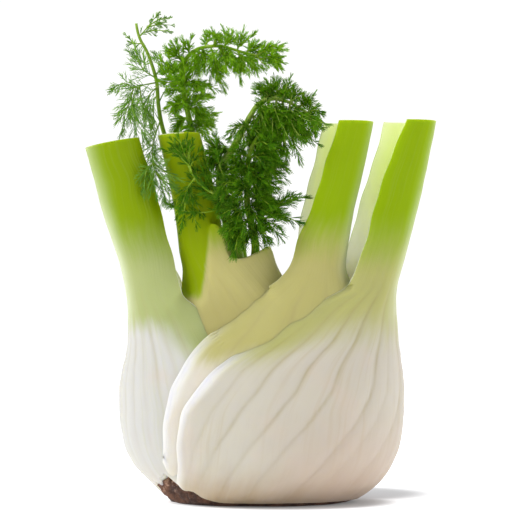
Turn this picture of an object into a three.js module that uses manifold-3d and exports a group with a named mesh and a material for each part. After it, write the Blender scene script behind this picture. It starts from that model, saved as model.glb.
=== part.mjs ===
// A trimmed fennel bulb, standing on its cut base, in millimetres with +Z up.
// The origin is the middle of the cut base. +X is to the viewer's right and -Y faces the viewer.
//
// The bulb is a root plate and four leaves. Each leaf is one solid: a broad sheath that wraps round the bulb and
// narrows, above the bulb, into a channelled stalk that is cut off flat. The innermost sheath is open at the top, and
// four feathery fronds grow out of its mouth.
import * as THREE from "three";
import { mergeVertices } from "three/addons/utils/BufferGeometryUtils.js";
import Module from "manifold-3d";

const wasm = await Module();
wasm.setup();
const { Manifold, Mesh } = wasm;

// Driving dimensions
const LAYER_GAP = 0.85; // between a leaf and the coarse copy of its neighbour that trims it
const CLEARANCE = 0.4; // between pieces that stand next to each other
const RIB_DEPTH = 0.45; // of the grooves between the broad ribs of a sheath
const INNER_RIB_DEPTH = 0.36;
const STALK_RIB_SHARE = 0.6; // how much of that depth is left on a stalk
const STALK_START = { from: 70, to: 90 }; // heights between which sheaths turn into stalks
const LEAN = { from: 84, to: 120 }; // heights between which a stalk's sections start to lean with it
const EDGE_THICKNESS = 1.3; // at a sheath's thin margins
const TIDY = 0.03; // detail smaller than this is merged away after joining and cutting

const GOLDEN_ANGLE = (137.5 * Math.PI) / 180;
const STEM_STEPS = 16;
const BRANCH_RADII = [1, 0.92, 0.8];
const BARE_BRANCH_RADII = [0.6, 0.55, 0.5];
const LEAFLET_RADIUS = 0.52;
const FIRST_LEAFLET = 0.2; // along a branch
const LAST_LEAFLET = 0.97;

const SHEATH_WHITE = 0xe6e8d2;
const STALK_GREEN = 0xa9bf4e;
const FROND_GREEN = 0x3f7d22;
const ROOT_BROWN = 0x7a5238;

// Each row is one level section through a leaf. "out" is the furthest reach on the leaf's own side, rx and ry are the
// radii of its outer curve, "front" and "back" are where the two margins lie across the bulb, and y shifts the curve.
const OUTER_RIGHT = {
  side: 1,
  ribs: 13,
  tilt: 0,
  //     z, out,  rx,   ry,   front, back, thick, y
  rows: [
    [1.2, 35.5, 35.5, 29, -28, -24, 5, 0],
    [4, 40, 40, 32.5, -29.5, -26, 6, 0],
    [8, 44.6, 44.6, 35.5, -30.2, -28, 6.5, 0],
    [14, 48.6, 48.6, 38, -30.3, -28, 6.5, 0],
    [22, 51.4, 51.4, 39.5, -30.2, -27, 6.5, 0],
    [32, 52.8, 52.8, 40, -28.8, -24, 6.5, 0],
    [40, 52.8, 52.8, 39.5, -25, -18, 6.5, 0],
    [48, 52.2, 52.2, 38, -18.6, -10, 6.5, 0],
    [54, 51.4, 51, 36, -10.6, -3, 6.5, 0],
    [60, 50.7, 48, 33, 0.2, 5, 6.5, 0],
    [66, 50.2, 43, 29.5, 9, 13, 6.5, 0],
    [71, 50, 36, 26, 16.5, 19.5, 6, 0],
    [75.6, 50.1, 27, 21, 25.5, 25, 5.6, 0.3],
    [79, 50.5, 20, 16.5, 31.2, 27.5, 5.1, 0.5],
    [85, 51.9, 14, 12.5, 34.4, 29, 4.6, 1],
    [96, 54.9, 12, 10.5, 38.9, 32.8, 4.3, 1.5],
    [111, 59, 11.5, 10, 42.4, 37.3, 4.1, 2],
    [140.8, 65.3, 10.5, 9, 53.7, 46.2, 3.7, 2],
  ],
};
const INNER_RIGHT = {
  side: 1,
  ribs: 9,
  tilt: 0,
  rows: [
    [1.2, 32, 34, 26, -26, -20, 5, 0],
    [4, 36, 38.5, 29.5, -30.5, -24, 5.5, 0],
    [8, 40, 42.5, 32.3, -34, -28, 5.5, 0],
    [14, 43.5, 46, 34.6, -35.6, -30, 5.5, 0],
    [22, 46, 49, 36, -35.3, -29.5, 5.5, 0],
    [32, 47.2, 50, 36.6, -35, -28, 5.5, 0],
    [41, 47.2, 49.5, 36, -33.2, -24, 5.5, 0],
    [50, 46.3, 48, 34, -28.8, -17, 5.5, 0],
    [59, 44.8, 45, 30.8, -21.9, -8, 5.5, 0],
    [66, 43, 39.5, 27, -14.3, -1, 5.5, 0],
    [72, 40, 32.5, 24, -8.4, 4, 5.3, 0],
    [77, 36, 25, 21.5, -1, 8, 5, 0],
    [82, 32.7, 18, 18, 6.9, 11.5, 4.8, -0.5],
    [87, 31.5, 13.5, 14.5, 10.9, 12.8, 4.6, -1],
    [96, 32.5, 11.2, 11.2, 13.6, 13.4, 4.4, -1.5],
    [110, 35.2, 10.5, 10, 19.2, 16, 4.2, -2],
    [140.2, 41.6, 9.8, 9, 28.8, 23.4, 3.8, -2],
  ],
};
const OUTER_LEFT = {
  side: -1,
  ribs: 11,
  tilt: 0.19,
  rows: [
    [1.2, 33.5, 33.5, 26.5, -4, -6, 5.5, 0],
    [4, 37.4, 37, 29, -4.5, -7, 6, 0],
    [8, 41.6, 40, 31.3, -5, -8, 6, 0],
    [14, 47, 45, 32.6, -5, -8, 6, 0],
    [22, 50.9, 48.5, 33.7, -5, -8, 6.5, 0],
    [32, 52.4, 50, 33.6, -5, -8, 7, 0],
    [40, 52.5, 49.6, 32.4, -2, -6, 7, 0],
    [48, 51.6, 48.5, 30.6, 4, -2, 7, 0],
    [55, 50.1, 46, 28.4, 10, 4, 7, 0],
    [61, 49.4, 42, 25.3, 16, 12, 6.5, 0],
    [66, 49.3, 37, 23, 19.4, 18, 6, 0],
    [71, 49.5, 30, 20.5, 23.4, 23, 5.5, 0],
    [76, 49.9, 21, 17, 28.7, 27.5, 5, 0],
    [84, 51.4, 13.5, 13, 31, 31, 4.6, -0.5],
    [94, 54.2, 12, 10.5, 33.6, 36.5, 4.4, -1],
    [108, 58.4, 11, 10, 37.4, 42, 4.2, -1.5],
    [132.4, 64.9, 10.2, 9.3, 45, 50.4, 3.9, -2],
  ],
};
// The stalk of the innermost leaf, from where it leaves the closed sheath.
const INNER_LEFT_STALK = {
  side: -1,
  ribs: 7,
  tilt: 0.06,
  rows: [
    [70, 31, 13, 11, 10, 12, 5, 0],
    [78, 29.6, 11, 10.2, 9.5, 11, 5, 0],
    [85, 29, 10, 9.6, 9.8, 11.5, 4.4, 0],
    [92, 30.2, 9.9, 9.4, 11.2, 13, 4.2, 0.3],
    [101, 31.2, 9.5, 9.1, 14.2, 16.5, 4, 0.6],
    [114, 33.2, 9, 8.7, 16.8, 20, 3.8, 1],
    [136, 38.2, 8.2, 8, 22.6, 27, 3.5, 1],
  ],
};
// The innermost sheath is closed all the way round and fills the middle of the bulb: z, middle x, rx, ry.
const CLOSED_SHEATH = [
  [1.2, 0, 26, 20],
  [8, -1, 34, 26],
  [14, -1.5, 38.5, 28],
  [22, -2, 41.5, 29],
  [32, -2, 43.5, 29.2],
  [40, -2, 43, 28.3],
  [50, -2, 41, 26],
  [58, -2.5, 39, 23.4],
  [66, -3.5, 35.5, 20.8],
  [72, -6, 29, 18.6],
  [77, -9, 23.5, 16.6],
  [82, -11, 19.8, 15],
  [88, -12.3, 17.8, 13.6],
  [94, -13, 17, 12.6],
  [104, -13.5, 16.5, 12],
];
// The line of the innermost sheath's rim, seen from the front: a step beside the stalk, a pale shoulder, a dip, then
// the long wing to the right. Everything above it is open.
const RIM = [
  [-45, 77],
  [-27, 75.5],
  [-21.4, 84],
  [-20.8, 99.5],
  [-18.6, 102.4],
  [-15.6, 101.6],
  [-13.4, 97],
  [-11.2, 90],
  [-8, 89.6],
  [3, 94.4],
  [12, 98],
];
const BACK_RIM = [
  [-45, 77],
  [-27, 75.5],
  [-21.4, 82],
  [-17, 86.5],
  [-6, 86.8],
  [3, 90],
  [12, 93],
];
const FLAP_THICKNESS = 3.4; // of the shoulder that stands up at the front of the rim
const MOUTH = { x: -8, rx: 9.6, ry: 8.2, floor: 84 };
// height and share of the plate's radii
const ROOT_PLATE = [
  [0, 0.93],
  [1, 1],
  [3.2, 0.99],
  [6, 0.7],
  [8.5, 0.32],
];
const ROOT_PLATE_RADII = [33.5, 26.5];
const ROOT_RIPPLES = [
  [5, 0.5], // how many round the plate, and how far they reach
  [9, 0.35],
];
const ROOT_SCAR = { angle: 196, width: 24, reach: 5.6, rise: 3 }; // the torn brown lump at the front left

// Each frond has a stem, given by points from the mouth upwards with its radius at the root and at the tip, and side
// branches. A branch is the length of its leaflets and then its points, and it grows from whatever lies nearest to the
// first of them. A leaflet length of zero leaves the branch bare.
const FRONDS = [
  {
    name: "frond_tall",
    stem: [
      [-10.2, 4.2, 85.5],
      [-11.5, 11, 94.5],
      [-17.5, 13, 104],
      [-27, 13.5, 116],
      [-36, 13.5, 136],
      [-37.5, 11.5, 141.5],
      [-38.5, 10, 148.5],
      [-39, 8.5, 156],
      [-40.5, 7.5, 161.5],
      [-42.5, 6.5, 167],
      [-45, 6, 171.5],
      [-46, 5.5, 174.5],
      [-46.5, 5, 177.5],
    ],
    radii: [1.3, 0.5],
    spacing: 3.4,
    branches: [
      [0, [-45, 6, 172.5], [-43, 4, 175], [-39, 3, 182]],
      [0, [-42.5, 4, 175.5], [-39, 2, 178], [-35, 1, 180]],
      [0, [-42, 4, 176], [-38.5, 5, 177], [-34, 6, 177]],
      [0, [-44, 5, 174], [-39, 2, 174.5], [-33.5, 0, 174.5]],
      [3.2, [-45, 6, 170], [-48, 7, 170]],
      [0, [-47.5, 7, 170], [-50, 8, 173]],
      [4.2, [-40, 8.5, 157], [-43.5, 5, 160], [-46, 3, 164.5], [-46.5, 2, 166.5]],
      [3.6, [-41, 7.5, 163], [-43.5, 11, 163], [-45.5, 13, 166]],
      [3.6, [-39.5, 8.5, 156], [-43.5, 5, 154.5], [-47, 1, 153], [-50.5, -2, 154.5], [-53.5, -4, 153]],
      [4.6, [-47, 1, 153], [-48.5, 0, 148.5], [-50.5, 2, 143], [-51.5, 3, 138.5]],
      [4.6, [-45.5, 2, 153.5], [-47.5, -3, 146.5], [-46, -4, 140.5], [-43.5, -5, 136]],
      [4.6, [-45, 3, 154], [-44.5, 6, 148.5], [-42, 9, 142]],
      [4.6, [-39, 9, 154], [-41.5, 6, 151], [-42.5, 4, 146]],
      [4, [-38.5, 9.5, 151.5], [-40.5, 14, 148.5], [-40.5, 15, 144]],
      [3.4, [-39, 8.5, 157], [-36.5, 8, 156], [-33.5, 7, 155.5]],
      [3.2, [-39, 8, 158.5], [-37.5, 11, 161.5], [-39, 13, 165.5]],
      [0, [-38, 10, 148.5], [-35.5, 11, 153], [-33.5, 12, 150]],
      [
        4.4,
        [-37.5, 11.5, 142],
        [-40, 4, 133.5],
        [-40, -5, 127.5],
        [-39, -10.5, 122],
        [-36.5, -12, 117.5],
        [-35.5, -12.5, 113],
      ],
      [4, [-39.5, -8, 124.5], [-36.5, -12, 122], [-33, -13, 120]],
    ],
  },
  {
    name: "frond_arching",
    stem: [
      [-6, 5, 85],
      [-8.5, 7.5, 97],
      [-16.5, 11.5, 111],
      [-23, 12, 127],
      [-27, 9, 143],
      [-28.5, 7, 150],
      [-29.5, 5.5, 157.5],
      [-28.5, 4.5, 163],
      [-25, 3.5, 167],
      [-20, 2.5, 168.5],
      [-14.5, 1, 168.5],
      [-8, -0.5, 166.5],
      [0.5, -1.5, 164.5],
      [9.5, -2.5, 164.5],
    ],
    radii: [1.8, 0.5],
    spacing: 4.8,
    branches: [
      [4.2, [-28.5, 4.5, 162.5], [-32, 1, 165.5], [-34, -1, 167]],
      [4.2, [-29.5, 5.5, 158.5], [-33, 8, 162], [-34.5, 11, 165.5]],
      [4, [-29, 6, 155], [-33.5, 3, 157], [-36.5, 1, 159.5], [-37, 0, 162.5]],
      [4.2, [-29, 7, 151.5], [-31.5, 11, 153], [-33.5, 13, 152.5]],
      [4.2, [-28, 8, 147], [-31, 3, 147.5], [-33.5, 0, 145]],
      [4.2, [-27, 9, 143], [-30, 12, 142.5], [-31.5, 12.5, 139]],
      [4.2, [-29, 7, 152], [-28, -2, 156.5], [-28.5, -5, 161]],
      [4.2, [-27.5, 9, 144.5], [-28, 1, 148.5], [-26.5, -4, 152]],
      [4, [-29, 6, 154.5], [-25.5, 3, 154.5], [-21.5, 1, 154.5], [-19, 0, 153]],
      [4.2, [-28, 7.5, 149.5], [-24.5, 11, 149.5], [-21, 14, 150]],
      [4.2, [-27.5, 9, 145.5], [-23.5, 4, 145.5], [-20, 1, 143]],
      [4.2, [-27, 9.5, 141.5], [-23.5, 12, 141], [-19.5, 14, 140]],
      [4.2, [-26.5, 10, 140], [-23, 3, 138.5], [-20.5, -2, 134.5]],
      [3.6, [-26, 3.5, 166], [-28, 1, 168.5], [-28.5, 0, 170]],
      [3.6, [-20.5, 2.5, 168.5], [-20, 5, 171.5], [-20.5, 6, 173]],
      [3.6, [-17.5, 2, 169], [-16.5, -2, 171.5], [-18, -3, 172.5]],
      [3.6, [-13.5, 1, 168.5], [-11.5, 3, 171.5], [-12, 5, 174.5]],
      [3.6, [-9, 0, 167], [-7, -3, 170.5], [-6.5, -4, 173]],
      [4, [-5.5, -1, 166], [-2, 2, 168], [1, 4, 168.5]],
      [4, [-1.5, -1, 164.5], [2.5, -4, 166.5], [7.5, -5, 166.5]],
      [4.4, [-24.5, 3.5, 167], [-24.5, 7, 163], [-25.5, 9, 159.5]],
      [4.4, [-22, 3, 168], [-20.5, -1, 163.5], [-21.5, -4, 159.5]],
      [4.4, [-19, 2, 168.5], [-17, 5, 163], [-16.5, 7, 158.5], [-14.5, 8, 154.5]],
      [4.4, [-15.5, 1.5, 168.5], [-13.5, -3, 164], [-12.5, -6, 159.5]],
      [4.2, [-12, 0.5, 168], [-9.5, 3, 163], [-8, 4, 157.5]],
      [4.2, [-9, 0, 167], [-6.5, -4, 163], [-5, -7, 158.5]],
      [4, [-5.5, -1, 166], [-3.5, 2, 163], [-2, 4, 160]],
      [4, [-2, -1, 164.5], [1, -4, 162.5], [4, -6, 161.5]],
      [3.6, [2.5, -2, 164.5], [5, 1, 163], [7.5, 2, 162.5]],
    ],
  },
  {
    name: "frond_bushy",
    stem: [
      [-7.5, -0.5, 85.5],
      [-10.5, 2.5, 98],
      [-14.5, 1.5, 111],
      [-14.5, 0, 123.5],
      [-10.5, -1.5, 130],
      [-6.5, -2.5, 137.5],
      [-3.5, -3.5, 143],
      [-0.5, -4, 147],
      [4, -4.5, 148.5],
      [9.5, -5, 147.5],
      [15, -5.5, 144.5],
      [20.5, -6, 141.5],
    ],
    radii: [2.1, 0.5],
    spacing: 4.2,
    branches: [
      [3.8, [0, -4, 147.5], [2, -1, 150], [0.5, 0, 152.5]],
      [3.8, [2, -4.5, 148.5], [3.5, -8, 151.5], [2.5, -10, 153.5]],
      [3.8, [5, -4.5, 148.5], [6, -1, 151.5], [5, 1, 154]],
      [3.8, [8, -5, 148], [9, -9, 151.5], [9.5, -10, 153.5]],
      [3.8, [10.5, -5, 147], [12, -2, 149.5], [13, -1, 151]],
      [3.8, [14, -5.5, 145.5], [16.5, -9, 147.5], [17, -10, 148.5]],
      [3.8, [17, -5.5, 143.5], [19, -3, 144.5], [21.5, -2, 143.5]],
      [4, [16, -5.5, 144.5], [18.5, -9, 141], [19.5, -10, 136]],
      [4.4, [13, -5, 146], [13.5, -1, 141.5], [16.5, 2, 137]],
      [4.4, [10.5, -5, 147], [10.5, -10, 141], [13.5, -12, 135], [16.5, -12, 132.5]],
      [4.4, [8, -5, 148], [9, 0, 141.5], [12, 3, 134], [14, 4, 127]],
      [4.4, [5.5, -4.5, 148.5], [6, -11, 142], [8.5, -13, 136.5], [10.5, -13, 132]],
      [4.4, [2.5, -4.5, 148.5], [3, 1, 143], [4.5, 4, 137.5], [7.5, 4, 131.5]],
      [4.4, [-0.5, -4, 147], [0.5, -10, 141.5], [2.5, -13, 136]],
      [4.4, [-3.5, -3.5, 143], [-1.5, 1, 138], [0.5, 3, 133]],
      [4.4, [-6.5, -2.5, 138], [-2.5, 4, 134.5], [2, 6, 130], [7, 5, 126]],
      [4.2, [-10.5, -1.5, 130], [-16, -4, 130.5], [-19, -5, 133]],
      [4.2, [-12.5, -1, 127], [-17.5, 3, 127], [-21, 5, 127]],
      [4, [-5, -3, 140], [-6, -8, 137], [-6.5, -10, 132.5]],
    ],
  },
  {
    name: "frond_low",
    stem: [
      [-3, -2.5, 85],
      [-2, -3.5, 94],
      [-3.5, -6, 102],
      [-5, -7, 109.5],
      [-5, -7.5, 117],
      [-5, -8, 123],
      [-3.5, -8, 130],
      [-0.5, -7.5, 135],
      [3.5, -7, 138.5],
    ],
    radii: [1.7, 0.5],
    spacing: 3.8,
    branches: [
      [4.4, [-5, -8, 121.5], [0.5, -4, 124.5], [5, -2, 126], [8, -2, 124]],
      [4.4, [-5, -7.5, 118], [-0.5, -11, 119.5], [4, -13, 118]],
      [4.4, [-5, -7, 114], [-1, -3, 114.5], [2.5, -1, 112]],
      [4.4, [-4.5, -7, 109], [-0.5, -11, 109], [3.5, -12, 108]],
      [4.4, [-4, -6.5, 106], [1, -5, 104.5], [8, -7, 105], [13.5, -9, 103]],
      [4.2, [-3.5, -6, 102.5], [0, -10, 100], [2.5, -11, 97.5]],
      [4.4, [-5, -7.5, 119.5], [-9, -4, 123], [-13, -2, 123], [-14.5, -1, 120]],
      [4.4, [-5, -7.5, 116], [-9.5, -12, 116.5], [-13, -13, 114.5], [-15, -13, 110]],
      [4.4, [-5, -7, 111.5], [-8.5, -3, 111], [-12, -1, 108.5], [-14, 0, 105.5]],
      [4.4, [-4.5, -7, 107.5], [-8, -12, 106], [-10.5, -14, 102], [-11.5, -14.5, 99]],
      [4.4, [-3.5, -6, 104], [-6.5, -11, 101.5], [-8.5, -15.5, 96.5], [-9.5, -17, 92]],
      [4.2, [-3, -5.5, 100.5], [-5, -10, 97.5], [-6, -15, 94]],
      [4.4, [-4, -8, 127], [-8, -12, 127.5], [-10.5, -14, 125.5]],
      [4.4, [-4.5, -8, 125], [-2, -13, 121], [1.5, -15, 116.5]],
      [4.4, [-2.5, -8, 131.5], [2, -11, 131.5], [6.5, -12, 129]],
      [3.6, [-8, -6, 111], [-14.5, -12, 112], [-20.5, -13, 115], [-25, -12.5, 120], [-27.5, -12, 125.5]],
      [3, [-27.5, -12, 124.5], [-27, -11.5, 129], [-27, -11, 133]],
      [3, [-27.5, -12, 124.5], [-29.5, -11.5, 129], [-32, -11, 132]],
      [3.2, [-24, -12.5, 119], [-26.5, -12, 115], [-28, -12, 107.5], [-29, -12, 101.5]],
    ],
  },
];

// A smooth curve through the points (xs, ys) that never overshoots them.
function smooth(xs, ys) {
  const slopes = xs.slice(1).map((x, i) => (ys[i + 1] - ys[i]) / (x - xs[i]));
  const tangents = xs.map((_, i) => {
    if (i === 0) return slopes[0];
    if (i === xs.length - 1) return slopes[i - 1];
    const [a, b] = [slopes[i - 1], slopes[i]];
    return a * b > 0 ? (2 * a * b) / (a + b) : 0;
  });
  return (x) => {
    let i = 0;
    while (i < xs.length - 2 && x > xs[i + 1]) i++;
    const h = xs[i + 1] - xs[i];
    const t = THREE.MathUtils.clamp((x - xs[i]) / h, 0, 1);
    return (
      ys[i] * (1 + 2 * t) * (1 - t) ** 2 +
      h * tangents[i] * t * (1 - t) ** 2 +
      ys[i + 1] * t * t * (3 - 2 * t) +
      h * tangents[i + 1] * t * t * (t - 1)
    );
  };
}

// The columns of a table of rows as smooth functions of its first column.
function columns(rows) {
  const heights = rows.map((row) => row[0]);
  return rows[0].slice(1).map((_, i) => smooth(heights, rows.map((row) => row[i + 1])));
}

// A closed surface from points and a list of faces, each a loop of point numbers.
function surface(points, faces) {
  const triangles = faces.flatMap(([a, b, c, d]) => (d === undefined ? [a, b, c] : [a, b, c, a, c, d]));
  const geometry = new THREE.BufferGeometry();
  geometry.setAttribute("position", new THREE.Float32BufferAttribute(points.flat(), 3));
  geometry.setIndex(triangles);
  return geometry;
}

function solidOf(geometry) {
  const merged = mergeVertices(geometry, 1e-4);
  const mesh = new Mesh({
    numProp: 3,
    vertProperties: new Float32Array(merged.attributes.position.array),
    triVerts: new Uint32Array(merged.index.array),
  });
  return new Manifold(mesh);
}

function geometryOf(solid) {
  const mesh = solid.getMesh();
  const geometry = new THREE.BufferGeometry();
  geometry.setAttribute("position", new THREE.BufferAttribute(mesh.vertProperties, 3));
  geometry.setIndex(new THREE.BufferAttribute(mesh.triVerts, 1));
  return geometry;
}

// The largest connected body of a solid. Scraps that trimming leaves are dropped.
function mainBody(solid) {
  return solid.simplify(TIDY).decompose().reduce((a, b) => (b.volume() > a.volume() ? b : a));
}

// A point on a leaf. s runs from -1 at the front margin to 1 at the back margin, and inward is measured from the
// leaf's outer curve towards its middle.
function leafPoint(leaf, at, z, s, inward) {
  const [out, rx, ry, front, back, , y] = at.map((column) => column(z));
  const middle = out - rx;
  const margin = s < 0 ? front : back;
  const span = Math.acos(THREE.MathUtils.clamp((margin - middle) / rx, -0.999, 0.999));
  const angle = s * span;
  const across = [Math.cos(angle) / rx, Math.sin(angle) / ry];
  const size = Math.hypot(...across);
  const x = middle + rx * Math.cos(angle) - (inward * across[0]) / size;
  const depth = y + ry * Math.sin(angle) - (inward * across[1]) / size;
  const lean = leaf.tilt * THREE.MathUtils.smoothstep(z, LEAN.from, LEAN.to);
  return [leaf.side * x, depth, z - lean * (x - middle)];
}

// A leaf as a closed solid. With grow above zero it is the plain, slightly larger body that trims its neighbours.
function leafSolid(leaf, { grow = 0, fill = 0, ribs = leaf.ribs } = {}) {
  const at = columns(leaf.rows);
  const [low, high] = [leaf.rows[0][0], leaf.rows.at(-1)[0]];
  const steps = leaf.rows.length - 1;
  const levels = leaf.rows.map(([z], i) => (i === 0 ? z - grow : i === steps ? z + grow : z));
  const outerCount = 2 * ribs;
  const innerCount = ribs;
  const stretch = grow ? 1.017 : 1; // a trimming body also reaches past the margins
  const points = [];
  const ring = outerCount + innerCount + 2;
  for (const level of levels) {
    const z = THREE.MathUtils.clamp(level, low, high);
    const thick = at[5](z) + fill;
    const lift = level - z;
    const stalk = THREE.MathUtils.smoothstep(z, STALK_START.from, STALK_START.to);
    const depth = RIB_DEPTH * THREE.MathUtils.lerp(1, STALK_RIB_SHARE, stalk);
    for (let i = 0; i <= outerCount; i++) {
      const s = stretch * ((2 * i) / outerCount - 1);
      const groove = grow || i % 2 ? 0 : depth;
      const [x, y, height] = leafPoint(leaf, at, z, s, groove - grow);
      points.push([x, y, height + lift]);
    }
    for (let i = innerCount; i >= 0; i--) {
      const s = stretch * ((2 * i) / innerCount - 1);
      const inward = THREE.MathUtils.lerp(thick, EDGE_THICKNESS, Math.min(1, Math.abs(s) ** 3));
      const [x, y, height] = leafPoint(leaf, at, z, s, inward + grow);
      points.push([x, y, height + lift]);
    }
  }
  const faces = [];
  const flip = leaf.side < 0;
  const face = (...loop) => faces.push(flip ? loop.reverse() : loop);
  for (let r = 0; r < steps; r++)
    for (let i = 0; i < ring; i++) {
      const [a, b] = [r * ring + i, r * ring + ((i + 1) % ring)];
      face(a, b, b + ring, a + ring);
    }
  for (const [start, below] of [
    [0, true],
    [steps * ring, false],
  ])
    for (let i = 0; i < innerCount; i++) {
      const [a, b, c] = [start + 2 * i, start + 2 * i + 1, start + 2 * i + 2];
      const [d, e] = [start + ring - 1 - i, start + ring - 2 - i];
      if (below) {
        face(b, a, d);
        face(b, d, e);
        face(b, e, c);
      } else {
        face(b, d, a);
        face(b, e, d);
        face(b, c, e);
      }
    }
  return solidOf(surface(points, faces));
}

// A solid of stacked closed sections: each level gives a function from an angle to a point.
function stack(levels, sides) {
  const points = levels.flatMap((level) =>
    Array.from({ length: sides }, (_, i) => level((2 * Math.PI * i) / sides)),
  );
  const faces = [];
  for (let r = 0; r < levels.length - 1; r++)
    for (let i = 0; i < sides; i++) {
      const [a, b] = [r * sides + i, r * sides + ((i + 1) % sides)];
      faces.push([a, b, b + sides, a + sides]);
    }
  const top = (levels.length - 1) * sides;
  for (let i = 1; i < sides - 1; i++) {
    faces.push([0, i + 1, i]);
    faces.push([top, top + i, top + i + 1]);
  }
  return solidOf(surface(points, faces));
}

// The closed innermost sheath, ribbed where ribs is above zero, or plain and larger by grow.
function closedSheath({ grow = 0, ribs = 12, steps = 14, from = CLOSED_SHEATH[0][0] } = {}) {
  const at = columns(CLOSED_SHEATH);
  const [low, high] = [from, CLOSED_SHEATH.at(-1)[0]];
  const levels = Array.from({ length: steps + 1 }, (_, i) => {
    const z = low + ((high - low) * i) / steps;
    const [x, rx, ry] = at.map((column) => column(z));
    const height = z + (i === 0 ? -grow : i === steps ? grow : 0);
    return (angle) => {
      const groove = grow ? -grow : Math.cos(ribs * angle) > 0 ? 0 : INNER_RIB_DEPTH;
      return [x + (rx - groove) * Math.cos(angle), (ry - groove) * Math.sin(angle), height];
    };
  });
  return stack(levels, grow ? 20 : 2 * ribs);
}

// Everything above a rim line, from y = near to y = far.
function above(rim, near, far) {
  const shape = new THREE.Shape([
    ...rim.map(([x, z]) => new THREE.Vector2(x, z)),
    new THREE.Vector2(12, 120),
    new THREE.Vector2(-45, 120),
  ]);
  const prism = new THREE.ExtrudeGeometry(shape, { depth: far - near, bevelEnabled: false });
  prism.rotateX(Math.PI / 2);
  prism.translate(0, far, 0);
  prism.deleteAttribute("normal");
  prism.deleteAttribute("uv");
  return solidOf(prism);
}

// All that is open above the mouth: beyond the rim at the front, beyond the lower rim at the back, and behind the
// thin shoulder.
function openSpace() {
  const behindFlap = closedSheath({ grow: -FLAP_THICKNESS, steps: 8, from: 88.5 });
  return above(RIM, -40, 40).add(above(BACK_RIM, -1, 40)).add(behindFlap);
}

function mouthHollow() {
  const { x, rx, ry, floor } = MOUTH;
  const level = (z, share) => (angle) => [x + share * rx * Math.cos(angle), share * ry * Math.sin(angle), z];
  return stack([level(floor, 0.86), level(floor + 5, 0.97), level(floor + 30, 1.05)], 16);
}

// The brown plate that the leaves grow from. Its underside is the cut face that the bulb stands on.
function rootPlate(grow = 0) {
  const [rx, ry] = ROOT_PLATE_RADII;
  const levels = ROOT_PLATE.map(([z, share], i) => (angle) => {
    const from = THREE.MathUtils.euclideanModulo((angle * 180) / Math.PI - ROOT_SCAR.angle + 180, 360) - 180;
    const scar = Math.exp(-((from / ROOT_SCAR.width) ** 2));
    const ripple = ROOT_RIPPLES.reduce((sum, [count, size]) => sum + size * Math.sin(count * angle + 1), 0);
    const rim = share > 0.9; // the levels below the dome
    const reach = (i && rim ? scar * ROOT_SCAR.reach : 0) + (rim ? ripple : 0) + grow;
    const height = z + (i > 1 ? scar * ROOT_SCAR.rise : 0) + (i ? grow : -grow);
    return [(rx * share + reach) * Math.cos(angle), (ry * share + reach) * Math.sin(angle), height];
  });
  return stack(levels, 30);
}

// A tapering round body along points, closed at the root and pointed at the tip.
function spike(points, radii, sides) {
  const turn = new THREE.Vector3();
  const rings = points.slice(0, -1).map((point, i) => {
    const along = new THREE.Vector3().subVectors(points[i + 1], points[Math.max(i - 1, 0)]).normalize();
    const guide = Math.abs(along.z) < 0.9 ? new THREE.Vector3(0, 0, 1) : new THREE.Vector3(0, 1, 0);
    if (i) guide.copy(turn);
    const u = new THREE.Vector3().crossVectors(along, guide).normalize();
    const v = new THREE.Vector3().crossVectors(along, u);
    turn.copy(v).negate();
    return Array.from({ length: sides }, (_, k) => {
      const angle = (2 * Math.PI * k) / sides;
      return point
        .clone()
        .addScaledVector(u, radii[i] * Math.cos(angle))
        .addScaledVector(v, radii[i] * Math.sin(angle));
    });
  });
  const all = [...rings.flat(), points.at(-1)].map((p) => p.toArray());
  const faces = [];
  for (let r = 0; r < rings.length; r++)
    for (let i = 0; i < sides; i++) {
      const [a, b] = [r * sides + i, r * sides + ((i + 1) % sides)];
      faces.push(r < rings.length - 1 ? [a, b, b + sides, a + sides] : [a, b, all.length - 1]);
    }
  for (let i = 1; i < sides - 1; i++) faces.push([0, i + 1, i]);
  return solidOf(surface(all, faces));
}

// The side branches of a frond as curves, each rooted on the nearest stem or branch before it.
function branchesOf(frond, stem) {
  const grown = stem.getSpacedPoints(120);
  return frond.branches.map(([leaf, ...path]) => {
    const points = path.map((p) => new THREE.Vector3(...p));
    const nearest = grown.reduce((a, b) => (b.distanceTo(points[0]) < a.distanceTo(points[0]) ? b : a));
    const curve = new THREE.CatmullRomCurve3([nearest.clone(), ...points.slice(1)]);
    grown.push(...curve.getSpacedPoints(24).slice(4, -4));
    return { leaf, curve };
  });
}

// The thread-like leaflets along one side branch, as pairs of root and tip.
function leafletsOf({ leaf, curve }, spacing) {
  const count = leaf ? Math.max(3, Math.round(curve.getLength() / spacing)) : 0;
  return Array.from({ length: count }, (_, i) => {
    const along = THREE.MathUtils.lerp(FIRST_LEAFLET, LAST_LEAFLET, (i + 0.6) / count);
    const root = curve.getPointAt(along);
    const tangent = curve.getTangentAt(along);
    const side = new THREE.Vector3().crossVectors(tangent, new THREE.Vector3(0.1, 1, 0.3)).normalize();
    side.applyAxisAngle(tangent, i * GOLDEN_ANGLE);
    const way = side.multiplyScalar(0.8).addScaledVector(tangent, 0.8).normalize();
    return [root, root.clone().addScaledVector(way, leaf * (1.2 - 0.4 * along))];
  });
}

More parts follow.
